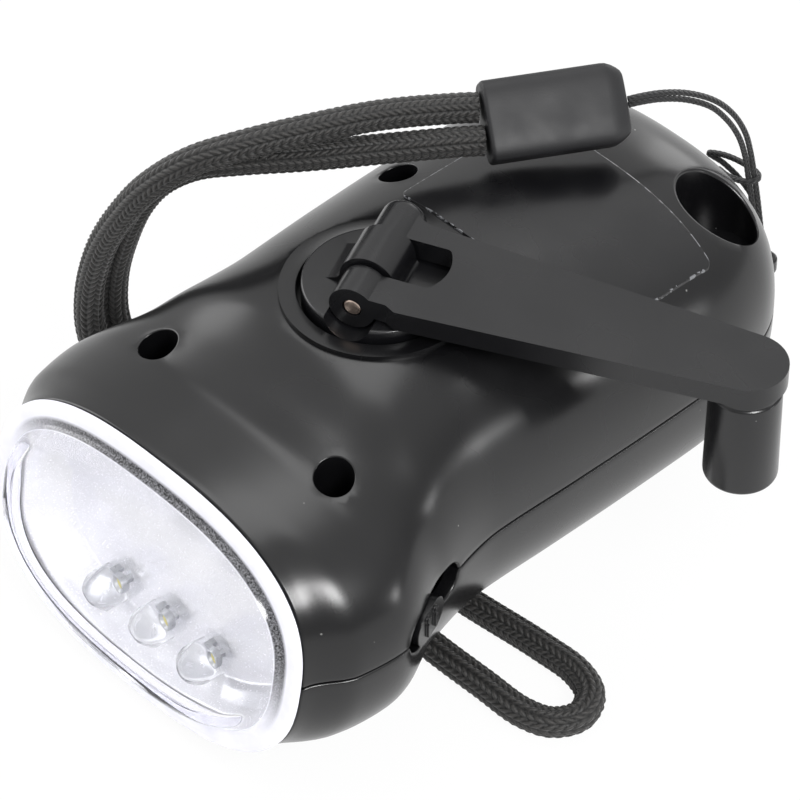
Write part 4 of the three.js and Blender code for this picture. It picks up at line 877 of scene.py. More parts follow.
def slot_rise(back):
    """Half height of the slot, rolled edge included, at a place along it: a stadium's outline."""
    radius = SLOT_HEIGHT / 2
    over = np.clip(np.abs(back) - (SLOT_LENGTH / 2 - radius), 0, None)
    return np.sqrt(np.clip((radius + RIM_ROLL) ** 2 - over ** 2, 0, None))


print("half height at the middle of the slot:", float(slot_rise(0.0)), "mm")


# %% Outline of a half
def ring_angle_at(v, up, half):
    """Ring angle at which the skin stands `up` from the parting line: the superellipse's sine part solved
    for its angle."""
    size = section(v, 0)[1 if half > 0 else 2]
    share = np.clip(up / size, 1e-6, 1 - 1e-9)
    return np.arctan((share ** -SECTION_POWER - 1) ** (-1 / SECTION_POWER))


TAIL_EDGE_SHARE = 0.09  # the closing tail is followed up to where its cosine is this small


def side_edge(half, slotted):
    """Plan points of the parting edge on the right, from the rim to the middle of the tail. Near the tail's
    end the ring angle leads and the length follows, because the edge runs across there."""
    base = PARTING_GAP / 2 + RIM_ROLL
    v = np.linspace(RIM_ROLL, TAIL_START, 130)
    up = np.full_like(v, base)
    if slotted:
        probe = np.linspace(5, 40, 700)  # plan lengths on both sides of the slot
        wall = form(ring_angle_at(probe, 1.0, half), probe, half)
        back = (wall - [SLOT_X, SLOT_Y, 0]) @ slot_back
        radius = SLOT_HEIGHT / 2 + RIM_ROLL
        straight_half = (SLOT_LENGTH - SLOT_HEIGHT) / 2
        turn = np.linspace(math.asin(base / radius), math.pi / 2, 14)
        ends = straight_half + radius * np.cos(turn)
        straight = np.linspace(-1, 1, 16)[1:-1] * straight_half
        slot_v = np.interp(np.concatenate([-ends, straight, ends[::-1]]), back, probe)
        slot_up = np.concatenate([np.sin(turn), np.ones(len(straight)), np.sin(turn)[::-1]]) * radius
        clear = (v < slot_v[0] - 0.3) | (v > slot_v[-1] + 0.3)
        v, up = np.concatenate([v[clear], slot_v]), np.concatenate([up[clear], slot_up])
        order = np.argsort(v)
        v, up = v[order], up[order]
    turn = np.linspace(0, 1, 40)[1:] * math.acos(TAIL_EDGE_SHARE)
    tail_v = TAIL_START + TAIL_ARC * turn / (math.pi / 2)
    v, up = np.concatenate([v, tail_v]), np.concatenate([up, np.full(len(turn), base)])
    angle = ring_angle_at(v, up, half)
    across = np.linspace(angle[-1], math.pi / 2, 16)[1:]
    _, s, size = superellipse(across, SECTION_POWER)
    full = HUMP * height_shares[-1, 1] if half > 0 else BELLY * depth_shares[-1, 1]
    close = base / (s * size * full)
    turn = np.arctan2((1 - close ** TAIL_POWER) ** (1 / TAIL_POWER), close)
    end_v = TAIL_START + TAIL_ARC * turn / (math.pi / 2)
    return np.concatenate([angle, across]), np.concatenate([v, end_v])


def half_outline(half):
    """Plan loop of a half: the right edge, the left edge backwards, and the rim."""
    right_angle, right_v = side_edge(half, True)
    left_angle, left_v = side_edge(half, False)
    angle = np.concatenate([right_angle, math.pi - left_angle[-2::-1]])
    v = np.concatenate([right_v, left_v[-2::-1]])
    rim = np.linspace(math.pi - left_angle[0], right_angle[0], 90)[1:-1]
    return np.concatenate([angle, rim]), np.concatenate([v, np.full(len(rim), RIM_ROLL)])


print("points round a half:", len(half_outline(1)[0]))

# %% Shell with its wall
OUTER_STEP, INNER_STEP = 0.9, 2.2  # mesh widths of the two skins on the plan


def half_shell(name, half, holes, inner_holes):
    """The outer skin, the rolled edges and the inner skin of a half, closed. Edge directions come from the
    loop itself: the tangent crossed with the normal points out of the skin."""
    angle, v = half_outline(half)
    plan = np.stack([angle * PLAN_PER_RADIAN, v], axis=1)
    flat, triangles = net(plan, [loop for loop, _ in holes], OUTER_STEP)
    outer = form(flat[:, 0] / PLAN_PER_RADIAN, flat[:, 1], half)
    loop = form(angle, v, half)
    outer[:len(loop)] = loop
    normal = skin_normals(angle, v, half)
    tangent = np.roll(loop, -1, axis=0) - np.roll(loop, 1, axis=0)
    out = np.cross(tangent, normal)
    out /= np.linalg.norm(out, axis=1)[:, None]
    centre = np.array([0, 0, PARTING + 8 * half])
    if np.mean(np.einsum("ij,ij->i", out, loop - centre)) < 0:
        out = -out
    edge = rolled_edge(loop, out, -normal, RIM_ROLL, WALL - RIM_ROLL)
    inner_flat, inner_triangles = net(plan, [loop for loop, _ in inner_holes], INNER_STEP)
    inner = form(inner_flat[:, 0] / PLAN_PER_RADIAN, inner_flat[:, 1], half, WALL)
    inner[:len(loop)] = edge[-1]
    for skin_points, some_holes in ((outer, holes), (inner, inner_holes)):
        start = len(loop)
        for _, rings in some_holes:
            skin_points[start:start + rings.shape[1]] = rings[0]
            start += rings.shape[1]
    sheets = [(outer, triangles), rings_sheet(edge), (inner, inner_triangles)]
    sheets += [rings_sheet(rings) for _, rings in holes + inner_holes]
    points, faces = join_sheets(*sheets)
    return new_mesh(name, place(points), faces, 45)


# %% [markdown]
# Satin black ABS. The housing is injection moulded in a tool with a fine spark-eroded texture, so it shines
# softly, and a few specks of dust lie on it, as on any black product in a picture. A plain colour and one
# roughness would look lifeless. So the gloss changes in broad patches, a faint grain breaks up the
# highlight, and the specks are the middles of a cell texture's cells.

# %% Moulded ABS
DUST_SPACING = 4.2  # mm


def moulded_abs(name, dark, light, rough_low, rough_high, grain_size, relief, dust_share):
    """Black moulded plastic, IOR 1.53, with broad tone patches, fine grain relief and dust specks."""
    made, tree = blank(name)
    where = add(tree, "TexCoord").outputs["Object"]
    broad = add(tree, "TexNoise", {"Vector": where, "Scale": per_metre(14.0), "Detail": 2.0})
    fine = add(tree, "TexNoise", {"Vector": where, "Scale": per_metre(grain_size), "Detail": 2.0})
    tone = add(tree, "Mix", {"Factor": broad, "A": colour(dark), "B": colour(light)}, data_type="RGBA")
    cells = add(tree, "TexVoronoi", {"Vector": where, "Scale": per_metre(DUST_SPACING)})
    chance = add(tree, "SeparateColor", {0: cells.outputs["Color"]})
    size = add(tree, "Math", {0: chance, 1: dust_share}, operation="MULTIPLY")
    speck = add(tree, "Math", {0: cells.outputs["Distance"], 1: size}, operation="LESS_THAN")
    shade = add(tree, "Mix", {"Factor": speck, "A": tone, "B": colour("6a6a68")}, data_type="RGBA")
    rough = add(tree, "MapRange", {"Value": broad, **NOISE_SPAN, "To Min": rough_low, "To Max": rough_high})
    bump = add(tree, "Bump", {"Height": fine, "Strength": relief, "Distance": 0.00003})
    skin = add(tree, "BsdfPrincipled", {"Base Color": shade, "Roughness": rough, "IOR": 1.53,
               "Normal": bump})
    add(tree, "OutputMaterial", {"Surface": skin})
    return made


# Both are ABS. The crank's mould is etched a little deeper, so its highlights are softer.
housing_abs = moulded_abs("satin_black_abs", "0a0a0b", "0e0e10", 0.22, 0.29, 0.3, 0.14, 0.04)
crank_abs = moulded_abs("matt_black_abs", "0b0b0d", "121214", 0.22, 0.3, 0.26, 0.2, 0.03)
print("made", housing_abs.name, "and", crank_abs.name)

# %% The two halves
dress("upper_half", half_shell("upper_half", 1, crown_holes, bosses), housing_abs, "housing", "housing",
      "upper_shell")
dress("lower_half", half_shell("lower_half", -1, [], []), housing_abs, "housing", "housing", "lower_shell")

# %% [markdown]
# Small solids with flat faces, such as the crank's arm, are drawn as an outline and pushed to a thickness.
# Two such solids are joined or cut by Blender's exact Boolean, and a Bevel with hardened normals then rounds
# every edge, which is what catches the light on a moulded part. Rounding them point by point would take a
# formula for every edge, and the Bevel finds the edges by their angle.

# %% Outlines
def arc(x, y, radius, start, end, count):
    """Points along an arc, its angles in radians."""
    angle = np.linspace(start, end, count)
    return np.stack([x + radius * np.cos(angle), y + radius * np.sin(angle)], axis=1)


def bent(start, pull, end, count):
    """Points of a curve of second degree from start to end, drawn towards pull."""
    t = np.linspace(0, 1, count)[:, None]
    start, pull, end = (np.asarray(p, float) for p in (start, pull, end))
    return (1 - t) ** 2 * start + 2 * t * (1 - t) * pull + t ** 2 * end


def extruded(outline, low, high):
    """A closed outline pushed from low to high, with one flat face at each end."""
    outline = np.asarray(outline, float)
    count = len(outline)
    levels = [np.column_stack([outline, np.full(count, level)]) for level in (low, high)]
    ring = np.arange(count)
    following = np.roll(ring, -1)
    sides = np.stack([ring, following, following + count, ring + count], axis=1).tolist()
    return np.concatenate(levels), sides + [ring[::-1].tolist(), (ring + count).tolist()]


def stadium(length, height, count=24):
    """A rectangle with round ends, length along the first axis."""
    reach = (length - height) / 2
    right = arc(reach, 0, height / 2, -math.pi / 2, math.pi / 2, count)
    left = arc(-reach, 0, height / 2, math.pi / 2, 3 * math.pi / 2, count)
    return np.concatenate([right, left])


print("points of a stadium outline:", len(stadium(6, 2)))


# %% Solids
def loose(name, points, faces):
    """A helper object in millimetres for a Boolean, in metres once placed."""
    return in_scene(name, new_mesh(name, np.asarray(points) * MM, faces))


def combine(base, tool, operation):
    """Joins or cuts two helper objects and keeps the first."""
    change = base.modifiers.new("combine", "BOOLEAN")
    change.operation = operation
    change.object = tool
    change.solver = "EXACT"
    bpy.context.view_layer.update()
    result = bpy.data.meshes.new_from_object(base.evaluated_get(bpy.context.evaluated_depsgraph_get()))
    base.modifiers.clear()
    base.data = result
    bpy.data.objects.remove(tool)
    return base


EDGE_ANGLE = math.radians(35)  # a bend of more than this counts as an edge


def beveled(name, base, width, transform, material, body, slot, *nodes):
    """Moves the helper's mesh to its place, makes it a piece and rounds its edges."""
    mesh = base.data
    points = np.empty(len(mesh.vertices) * 3)
    mesh.vertices.foreach_get("co", points)
    mesh.vertices.foreach_set("co", transform(points.reshape(-1, 3) / MM).ravel())
    mesh.update()
    mesh.shade_smooth()
    mesh.set_sharp_from_angle(angle=EDGE_ANGLE)
    bpy.data.objects.remove(base)
    piece = dress(name, mesh, material, body, slot, *nodes)
    edge = piece.modifiers.new("rounded edges", "BEVEL")
    edge.width = width * MM
    edge.segments = 3
    edge.limit_method = "ANGLE"
    edge.angle_limit = EDGE_ANGLE
    edge.harden_normals = True


print("bends of more than", round(math.degrees(EDGE_ANGLE)), "degrees are rounded")

# %% [markdown]
# The crank. Its turntable stands a little proud in the ring on the crown, with a pocket on each side of its
# lug. The lug carries the steel pin, and the arm folds about that pin on two ears. One solid would look
# alike at rest, but the arm couldn't fold, so turntable, pin and arm are three pieces. In the crank's own
# axes the arm lies along X and the pin along Y, and the whole is turned by the arm's heading at rest.

# %% Crank axes and values
ARM_HEADING = math.radians(24)
ARM_THICKNESS = 2.7
ARM_ROOT, ARM_TIP = 7.5, 4.65  # half widths at the shoulder and at the knob
ARM_SHOULDER, FAR_SHOULDER, FAR_ROOT = 5.0, 6.4, 2.2  # places along the arm, the last two on the far side
WINDOW_END, WINDOW_BOW = 8.15, 0.85  # the opening beyond the lug, and how far its end bows out
PIN_RADIUS, PIN_SETBACK, PIN_HEIGHT = 1.1, 0.5, 42.1
LUG_RADIUS, LUG_OFFSET, LUG_HALF, LUG_FRONT, LUG_REAR = 3.45, 1.05, 3.1, 3.9, 5.2
EAR_RADIUS, EAR_NEAR, EAR_FAR, EAR_GAP = 2.8, 6.75, 10.1, 0.35
ARM_TOP = PIN_HEIGHT + 1.95
ARM_UNDER = ARM_TOP - ARM_THICKNESS
TABLE_RADIUS, TABLE_TOP, TABLE_UNDER, SHAFT_END = 8.9, 41.0, 37.0, 31.2
print("arm from", round(ARM_UNDER, 2), "to", round(ARM_TOP, 2), "mm above the ground")

# %% Crank placing
def crank_place(points):
    """From the crank's axes to the frame: a turn by the arm's heading, then the common move."""
    c, s = math.cos(ARM_HEADING), math.sin(ARM_HEADING)
    x, y, z = np.moveaxis(np.asarray(points, float), -1, 0)
    return place(np.stack([x * c - y * s, x * s + y * c, z], axis=-1))


def stand_up(points):
    """An outline drawn in X and height and pushed along its third axis is stood up: that axis becomes Y."""
    points = np.asarray(points, float)
    return np.stack([points[:, 0], -points[:, 2], points[:, 1]], axis=1)


def about_pin(profile, count=64):
    """A profile of [radius, place along the pin] rows turned about the hinge pin."""
    points, faces = turned(profile, count)
    return points[:, [0, 2, 1]] + [-PIN_SETBACK, 0, PIN_HEIGHT], faces


near_inner, far_inner = LUG_OFFSET - LUG_HALF - EAR_GAP, LUG_OFFSET + LUG_HALF + EAR_GAP
print("inner faces of the ears at", round(near_inner, 2), "and", round(far_inner, 2), "mm along the pin")

# %% Turntable
disc_profile = rounded([[0, TABLE_TOP], [TABLE_RADIUS, TABLE_TOP], [TABLE_RADIUS, TABLE_UNDER],
                        [2.0, TABLE_UNDER], [2.0, SHAFT_END], [0, SHAFT_END]], [0.35, 0.1, 0.1, 0.1], 5)
table_solid = loose("disc", *turned(disc_profile, 120))
rise = PIN_HEIGHT - TABLE_TOP
lug_side = np.concatenate([
    [[-LUG_REAR, -0.6], [LUG_FRONT, -0.6]],
    bent([LUG_FRONT, 0.0], [LUG_RADIUS, 0.45 * rise], [LUG_RADIUS, rise], 8),
    arc(0, rise, LUG_RADIUS, 0, math.pi, 32)[1:],
    bent([-LUG_RADIUS, rise], [-LUG_RADIUS, 0.45 * rise], [-LUG_REAR, 0.0], 12)[1:],
])
lug_points, lug_faces = extruded(lug_side, -LUG_HALF, LUG_HALF)
lug_points = stand_up(lug_points) + [-PIN_SETBACK, LUG_OFFSET, TABLE_TOP]
room = EAR_RADIUS + 0.3  # radius of a pocket, which the ear turns in
for low, high in ((-14, near_inner + EAR_GAP + 0.1), (far_inner - EAR_GAP - 0.1, 14)):
    pocket = about_pin([[0, low], [room, low], [room, high], [0, high]], 72)
    table_solid = combine(table_solid, loose("pocket", *pocket), "DIFFERENCE")
table_solid = combine(table_solid, loose("lug", lug_points, lug_faces), "UNION")
beveled("turntable", table_solid, 0.14, crank_place, crank_abs, "crank", "crank_plastic", "crank_turntable")

# %% Arm's outline
taper = math.asin((ARM_ROOT - ARM_TIP) / (ARM_RADIUS - ARM_SHOULDER))
side, pull = WINDOW_END - WINDOW_BOW, WINDOW_END + WINDOW_BOW
window = np.concatenate([
    bent([side - 0.6, far_inner], [side, far_inner], [side + 0.25, far_inner - 0.6], 5),
    bent([side + 0.3, far_inner - 0.7], [pull - 0.1, LUG_OFFSET], [side + 0.3, near_inner + 1.0], 12),
    bent([side + 0.25, near_inner + 0.9], [side, near_inner], [side - 0.9, near_inner], 6),
])
arm_outline = np.concatenate([
    [[0, -EAR_NEAR], [ARM_SHOULDER - EAR_RADIUS / 2, -EAR_NEAR], [ARM_SHOULDER, -ARM_ROOT]],
    arc(ARM_RADIUS, 0, ARM_TIP, -math.pi / 2 + taper, math.pi / 2 - taper, 40),
    bent([FAR_SHOULDER + 3, ARM_ROOT - 0.3], [FAR_SHOULDER, ARM_ROOT - 0.1],
         [FAR_ROOT + 1.6, ARM_ROOT + 0.1], 7),
    bent([FAR_ROOT + 1, ARM_ROOT + 0.2], [FAR_ROOT - 0.4, ARM_ROOT + 0.6],
         [FAR_ROOT - 1.2, EAR_FAR - 0.6], 8),
    [[0, EAR_FAR - 0.4], [0, far_inner]],
    window,
    [[0, near_inner]],
])
print("arm outline:", len(arm_outline), "points")

# %% Arm with its ears
arm_solid = loose("plate", *extruded(arm_outline, ARM_UNDER, ARM_TOP))
near_ear = [[0, -EAR_NEAR], [EAR_RADIUS, -EAR_NEAR], [EAR_RADIUS, near_inner], [0, near_inner]]
far_ear = [[0, far_inner], [EAR_RADIUS, far_inner], [EAR_RADIUS, EAR_FAR], [0, EAR_FAR]]
for ear_profile in (rounded(near_ear, [0, 0]), rounded(far_ear, [0, 1.2], 8)):
    arm_solid = combine(arm_solid, loose("ear", *about_pin(ear_profile)), "UNION")
tool_points, tool_faces = extruded(arc(0, 0, PIN_RADIUS + 0.08, 0, 2 * math.pi, 41)[:-1], -14, 14)
tool_points = stand_up(tool_points) + [-PIN_SETBACK, 0, PIN_HEIGHT]
arm_solid = combine(arm_solid, loose("pin_tool", tool_points, tool_faces), "DIFFERENCE")
beveled("folding_arm", arm_solid, 0.16, crank_place, crank_abs, "arm", "crank_plastic", "crank_arm")

# %% [markdown]
# The hinge pin is drawn steel wire, cut and tumbled, so its ends are softly domed and brushed, and it looks
# slightly warm. The screws are zinc plated steel, plain in the crank. In the housing they are near black, as
# painted shade, so that the deep bores they sit in look dark. Metal with one even roughness looks like a
# mirror or like paint. So fine scratches vary it, which spreads each highlight in the way of worked metal.

# %% Steel
def bright_metal(name, tone, rough_low, rough_high, scratch_size):
    """Plain metal: full metallic with the default IOR, and scratches of the given size in its roughness
    and relief."""
    made, tree = blank(name)
    where = add(tree, "TexCoord").outputs["Object"]
    scratches = add(tree, "TexNoise", {"Vector": where, "Scale": per_metre(scratch_size), "Detail": 4.0,
                    "Roughness": 0.65})
    rough = add(tree, "MapRange", {"Value": scratches, **NOISE_SPAN, "To Min": rough_low,
                "To Max": rough_high})
    bump = add(tree, "Bump", {"Height": scratches, "Strength": 0.15, "Distance": 0.00002})
    skin = add(tree, "BsdfPrincipled", {"Base Color": colour(tone), "Metallic": 1.0, "Roughness": rough,
               "Normal": bump})
    add(tree, "OutputMaterial", {"Surface": skin})
    return made


# Tumbling leaves the wire its brightest, and zinc plating is greyer and duller. The housing screws are near
# black, as painted shade for their bores, and hardly shine.
# Real scratches are finer than these, which are drawn as coarse as the render can show.
pin_steel = bright_metal("tumbled_steel_wire", "d8c4b6", 0.28, 0.42, 0.3)
screw_steel = bright_metal("zinc_plated_steel", "a9abad", 0.3, 0.5, 0.25)
bore_shade_steel = bright_metal("near_black_bore_shade_steel", "0c0c0d", 0.45, 0.6, 0.25)
print("metals:", pin_steel.name, screw_steel.name, bore_shade_steel.name)

# %% Hinge pin
near_end = rounded([[0, -EAR_NEAR + 0.05], [PIN_RADIUS, -EAR_NEAR + 0.12], [PIN_RADIUS, 0]], [0.3], 5)
far_end = rounded([[PIN_RADIUS, 0], [PIN_RADIUS, EAR_FAR - 0.12], [0, EAR_FAR - 0.05]], [0.3], 5)
pin_points, pin_faces = about_pin(np.concatenate([near_end, far_end[1:]]), 40)
pin_mesh = new_mesh("steel_hinge_pin", crank_place(pin_points), pin_faces)
dress("steel_hinge_pin", pin_mesh, pin_steel, "crank", "pin_steel", "hinge_pin")

# %% [markdown]
# The knob turns on a stud under the arm. It is a plain turned form with a slight taper, a neck under the
# arm, a rounded lower edge and a hollow for its screw. A lathe or a mould gives it the same profile all
# round, so a profile turned about its axis is the nearest way to make it.

# %% Knob
KNOB_TOP, KNOB_BOTTOM, KNOB_LEDGE = ARM_UNDER - 0.3, 27.0, 32.0
knob_corners = [[2.2, KNOB_LEDGE], [3.1, KNOB_LEDGE], [3.1, KNOB_BOTTOM], [4.35, KNOB_BOTTOM],
                [4.2, KNOB_TOP - 1.1], [3.95, KNOB_TOP - 0.85], [4.15, KNOB_TOP - 0.6], [4.15, KNOB_TOP],
                [2.2, KNOB_TOP], [2.2, KNOB_LEDGE]]
knob_rounds = [0.1, 0.2, 0.6, 0.12, 0.1, 0.12, 0.2, 0.1]
knob_points, knob_faces = turned(rounded(knob_corners, knob_rounds, 5), 72, ARM_RADIUS, 0)
knob_mesh = new_mesh("knob", crank_place(knob_points), knob_faces, 50)
dress("knob", knob_mesh, crank_abs, "knob", "crank_plastic", "crank_knob")

# %% [markdown]
# Screws. A pan head with a cross recess stands on a shank whose thread is a helix: the radius rises and
# falls with the height plus the turn. A Screw modifier would make the thread alone. Here head, recess and
# thread are one sheet of rings, so nothing has to be joined.

# %% Screws
def screw_rings(head_radius, head, shank_radius, shank, pitch, count=48):
    """Rings from the head's middle to the shank's tip, the seat at height zero. The recess is a cross: deep
    where either arm's distance is small."""
    angle = round_angles(count)
    c, s = np.cos(angle), np.sin(angle)
    share = np.linspace(0, 1, 14)[:, None]
    radius = head_radius * share * np.ones(count)
    dome = head * (1 - 0.45 * share ** 4) * np.ones(count)
    arm_gap = np.minimum(np.abs(radius * c), np.abs(radius * s))
    deep = np.clip(1 - arm_gap / (0.13 * head_radius), 0, 1) * np.clip(1 - share / 0.6, 0, 1) ** 0.5
    top = np.stack([radius * c, radius * s, dome - 0.7 * head * deep], axis=-1)
    seat = ((head_radius, 0.15), (head_radius * 0.95, 0), (shank_radius, 0))
    under = [np.stack([r * c, r * s, np.full(count, z)], axis=-1) for r, z in seat]
    down = np.linspace(0, -shank, int(shank / pitch * 6))[:, None]
    wave = 0.5 + 0.5 * np.cos(2 * math.pi * (down / pitch) + angle)
    thread = shank_radius * (0.8 + 0.2 * wave) * np.clip((down + shank) / 1.2, 0, 1)
    body = np.stack([thread * c, thread * s, down * np.ones(count)], axis=-1)
    return np.concatenate([top, np.stack(under), body])


# The housing's screws are near black: painted shade at the foot of their deep bores.
for number, (x, y) in enumerate(SCREW_PLACES, start=1):
    points, faces = rings_sheet(screw_rings(2.1, 1.4, 1.15, 8, 0.9) + [x, y, SCREW_FLOOR + 0.08])
    name = f"housing_screw_{number}"
    screw_mesh = new_mesh(name, place(points), faces, 35)
    dress(name, screw_mesh, bore_shade_steel, "housing", "screw_steel", f"shell_screw_{number}")

for name, x, seat, body, node in (("knob_fixing_screw", ARM_RADIUS, KNOB_LEDGE - 0.3, "arm", "knob_screw"),
                                  ("gear_fixing_screw", 0, SHAFT_END - 0.38, "crank", "gear_screw")):
    points, faces = rings_sheet(screw_rings(2.7, 1.2, 0.8, 4, 0.7) * [1, -1, -1] + [x, 0, seat])
    dress(name, new_mesh(name, crank_place(points), faces, 35), screw_steel, body, "screw_steel", node)

# %% [markdown]
# The switch. A slider stands in the slot, near its front end. Its face is a stadium with two upright grip
# ridges, each with a round dot at its top. It is drawn in the slot's own axes and then turned into the
# wall, because the wall stands at an angle to the lamp.

# %% Slot's axes and slider values
def slot_place(points):
    """From the slot's axes (out of the wall, back along it, up) to the frame."""
    points = np.asarray(points, float)
    world_points = points[..., :1] * slot_out + points[..., 1:2] * slot_back + points[..., 2:] * [0, 0, 1]
    return place(world_points + [SLOT_X, SLOT_Y, PARTING])


def facing_out(points):
    """An outline drawn in (back, up) and pushed along its third axis is turned so that axis points out."""
    points = np.asarray(points, float)
    return np.stack([points[:, 2], points[:, 0], points[:, 1]], axis=1)


SLIDER_LENGTH, SLIDER_HEIGHT, SLIDER_PROUD = 6.6, 4.5, 0.75
SLIDER_MIDDLE = -SLOT_LENGTH / 2 + 1.2 + SLIDER_LENGTH / 2
BASE_OUTER = -WALL - 0.3  # the base slides along the inside of the wall
BASE_HALF_LENGTH, BASE_HALF_HEIGHT = 5, 3.2
GRIP_APART = 0.95  # each ridge and dot from the middle
print("slider middle:", round(SLIDER_MIDDLE, 2), "mm along the slot")


# %% Switch slider
def slider_part(name, outline, low, high, middle=(0, 0), upright=False):
    """A helper solid of the slider: an outline in (back, up) pushed out of the wall and moved to its
    middle. Upright, back and up change places."""
    points, faces = extruded(outline, low, high)
    points = facing_out(points)
    if upright:
        points = points[:, [0, 2, 1]]
    return loose(name, points + [0, SLIDER_MIDDLE + middle[0], middle[1]], faces)


base_outline = np.array([[-1, -1], [1, -1], [1, 1], [-1, 1]]) * [BASE_HALF_LENGTH, BASE_HALF_HEIGHT]
slider_solid = slider_part("stem", stadium(SLIDER_LENGTH, SLIDER_HEIGHT), BASE_OUTER - 0.5, SLIDER_PROUD)
slider_solid = combine(slider_solid, slider_part("base", base_outline, BASE_OUTER - 1.0, BASE_OUTER), "UNION")
for side in (-1, 1):
    ridge = slider_part("ridge", stadium(2.2, 0.55, 14), SLIDER_PROUD - 0.4, SLIDER_PROUD + 0.3,
                        (side * GRIP_APART, -0.45), upright=True)
    slider_solid = combine(slider_solid, ridge, "UNION")
    dot = slider_part("dot", arc(0, 0, 0.42, 0, 2 * math.pi, 25)[:-1], SLIDER_PROUD - 0.4,
                      SLIDER_PROUD + 0.34, (side * GRIP_APART, 1.25))
    slider_solid = combine(slider_solid, dot, "UNION")
beveled("switch_button", slider_solid, 0.13, slot_place, housing_abs, "slider", "switch_plastic",
        "switch_slider")

# %% [markdown]
# The label film. A thin glossy black sticker lies on the crown behind the crank. It is left bare. Its edge
# was cut by a perforating die, and short pale dashes along it are bare polyester with a painted highlight of
# the edge. A flat sheet could be shrunk on to the shell by a modifier. Here the film is a set of rounded
# rectangles that shrink to the middle, each laid on the crown by the housing's own formula, and a thin edge
# and underside close it.

# %% Film
LABEL_LEFT, LABEL_RIGHT, LABEL_FRONT, LABEL_REAR = -10.0, 19.6, 13.0, 35.5
# Above the share, the cut edge shows a pale dash: bare polyester with a painted highlight.
FILM_EDGE, BARE_GLINT_SHARE = 0.16, 0.52  # width of the cut edge, and the noise above which it is bare
film, tree = blank("glossy_black_film")
# Black polyester film: IOR 1.6, roughness from 0.2 to 0.3, so the sky lies on it almost like on glass. The
# die cut through the black, and the pale dashes along the edge are bare polyester with a painted highlight.
where = add(tree, "TexCoord").outputs["Object"]
axes = add(tree, "SeparateXYZ", {0: add(tree, "UVMap", uv_map="film")})
edge_gaps = []
for axis, span in (("X", LABEL_RIGHT - LABEL_LEFT), ("Y", LABEL_REAR - LABEL_FRONT)):
    far = add(tree, "Math", {0: span, 1: axes.outputs[axis]}, operation="SUBTRACT")
    edge_gaps.append(add(tree, "Math", {0: axes.outputs[axis], 1: far}, operation="MINIMUM"))
to_edge = add(tree, "Math", {0: edge_gaps[0], 1: edge_gaps[1]}, operation="MINIMUM")
on_edge = add(tree, "Math", {0: to_edge, 1: FILM_EDGE}, operation="LESS_THAN")
dashes = add(tree, "TexNoise", {"Vector": where, "Scale": per_metre(1.1), "Detail": 3.0})
dash = add(tree, "Math", {0: dashes, 1: BARE_GLINT_SHARE}, operation="GREATER_THAN")
# Pale edge dashes: bare polyester and a painted highlight of the cut edge.
bare_edge_and_painted_glint = add(tree, "Math", {0: on_edge, 1: dash}, operation="MULTIPLY")
waves = add(tree, "TexNoise", {"Vector": where, "Scale": per_metre(6.0), "Detail": 2.0})
shade = add(tree, "Mix", {"Factor": bare_edge_and_painted_glint, "A": colour("0e0e10"), "B": colour("6c6d70")}, data_type="RGBA")
rough = add(tree, "MapRange", {"Value": waves, **NOISE_SPAN, "To Min": 0.2, "To Max": 0.3})
bump = add(tree, "Bump", {"Height": waves, "Strength": 0.06, "Distance": 0.0002})
skin = add(tree, "BsdfPrincipled", {"Base Color": shade, "Roughness": rough, "IOR": 1.6, "Normal": bump})
add(tree, "OutputMaterial", {"Surface": skin})
print("made", film.name)


# %% Label outline
def rounded_rectangle(left, right, front, rear, corner, along=36):
    """A loop of points round a rectangle with round corners, evenly dense along its sides."""
    centres = [(right - corner, front + corner), (right - corner, rear - corner),
               (left + corner, rear - corner), (left + corner, front + corner)]
    starts = [-math.pi / 2, 0, math.pi / 2, math.pi]
    arcs = [arc(x, y, corner, start, start + math.pi / 2, 8) for (x, y), start in zip(centres, starts)]
    loop = []
    for here, following in zip(arcs, arcs[1:] + arcs[:1]):
        t = np.linspace(0, 1, along)[1:-1, None]
        loop += [here, here[-1] * (1 - t) + following[0] * t]
    return np.concatenate(loop)


label_loop = rounded_rectangle(LABEL_LEFT, LABEL_RIGHT, LABEL_FRONT, LABEL_REAR, 1.0)
print("label outline:", len(label_loop), "points")

# %% Label
LABEL_LIFT, LABEL_THICKNESS, LABEL_SUNK = 0.06, 0.2, 0.15
label_middle = np.array([(LABEL_LEFT + LABEL_RIGHT) / 2, (LABEL_FRONT + LABEL_REAR) / 2])
shrink = np.concatenate([[0.0, 1.0, 1.0, 0.997], np.linspace(0.985, 0.0, 34)])[:, None, None]
edge_lift = [-LABEL_SUNK, -LABEL_SUNK, LABEL_THICKNESS * 0.7]
lift = np.concatenate([edge_lift, np.full(35, LABEL_THICKNESS)])[:, None] + LABEL_LIFT
spread = label_middle + (label_loop - label_middle) * shrink
label_height = crown_height(spread[..., 0], spread[..., 1]) + lift
label_points, label_faces = rings_sheet(np.concatenate([spread, label_height[..., None]], axis=-1))
label_mesh = new_mesh("label_film", place(label_points), label_faces, 60)
corner_vertex = np.empty(len(label_mesh.loops), np.int32)
label_mesh.loops.foreach_get("vertex_index", corner_vertex)
film_points = np.empty(len(label_mesh.vertices) * 3)
label_mesh.vertices.foreach_get("co", film_points)
film_points = film_points.reshape(-1, 3)[corner_vertex] / MM
film_points = film_points + [0, CRANK_TO_ORIGIN, 0] - [LABEL_LEFT, LABEL_FRONT, 0]
film_map = film_points[:, :2].astype(np.float32)
label_mesh.uv_layers.new(name="film").data.foreach_set("uv", film_map.ravel())
dress("bare_label_film", label_mesh, film, "housing", "label", "label_film")

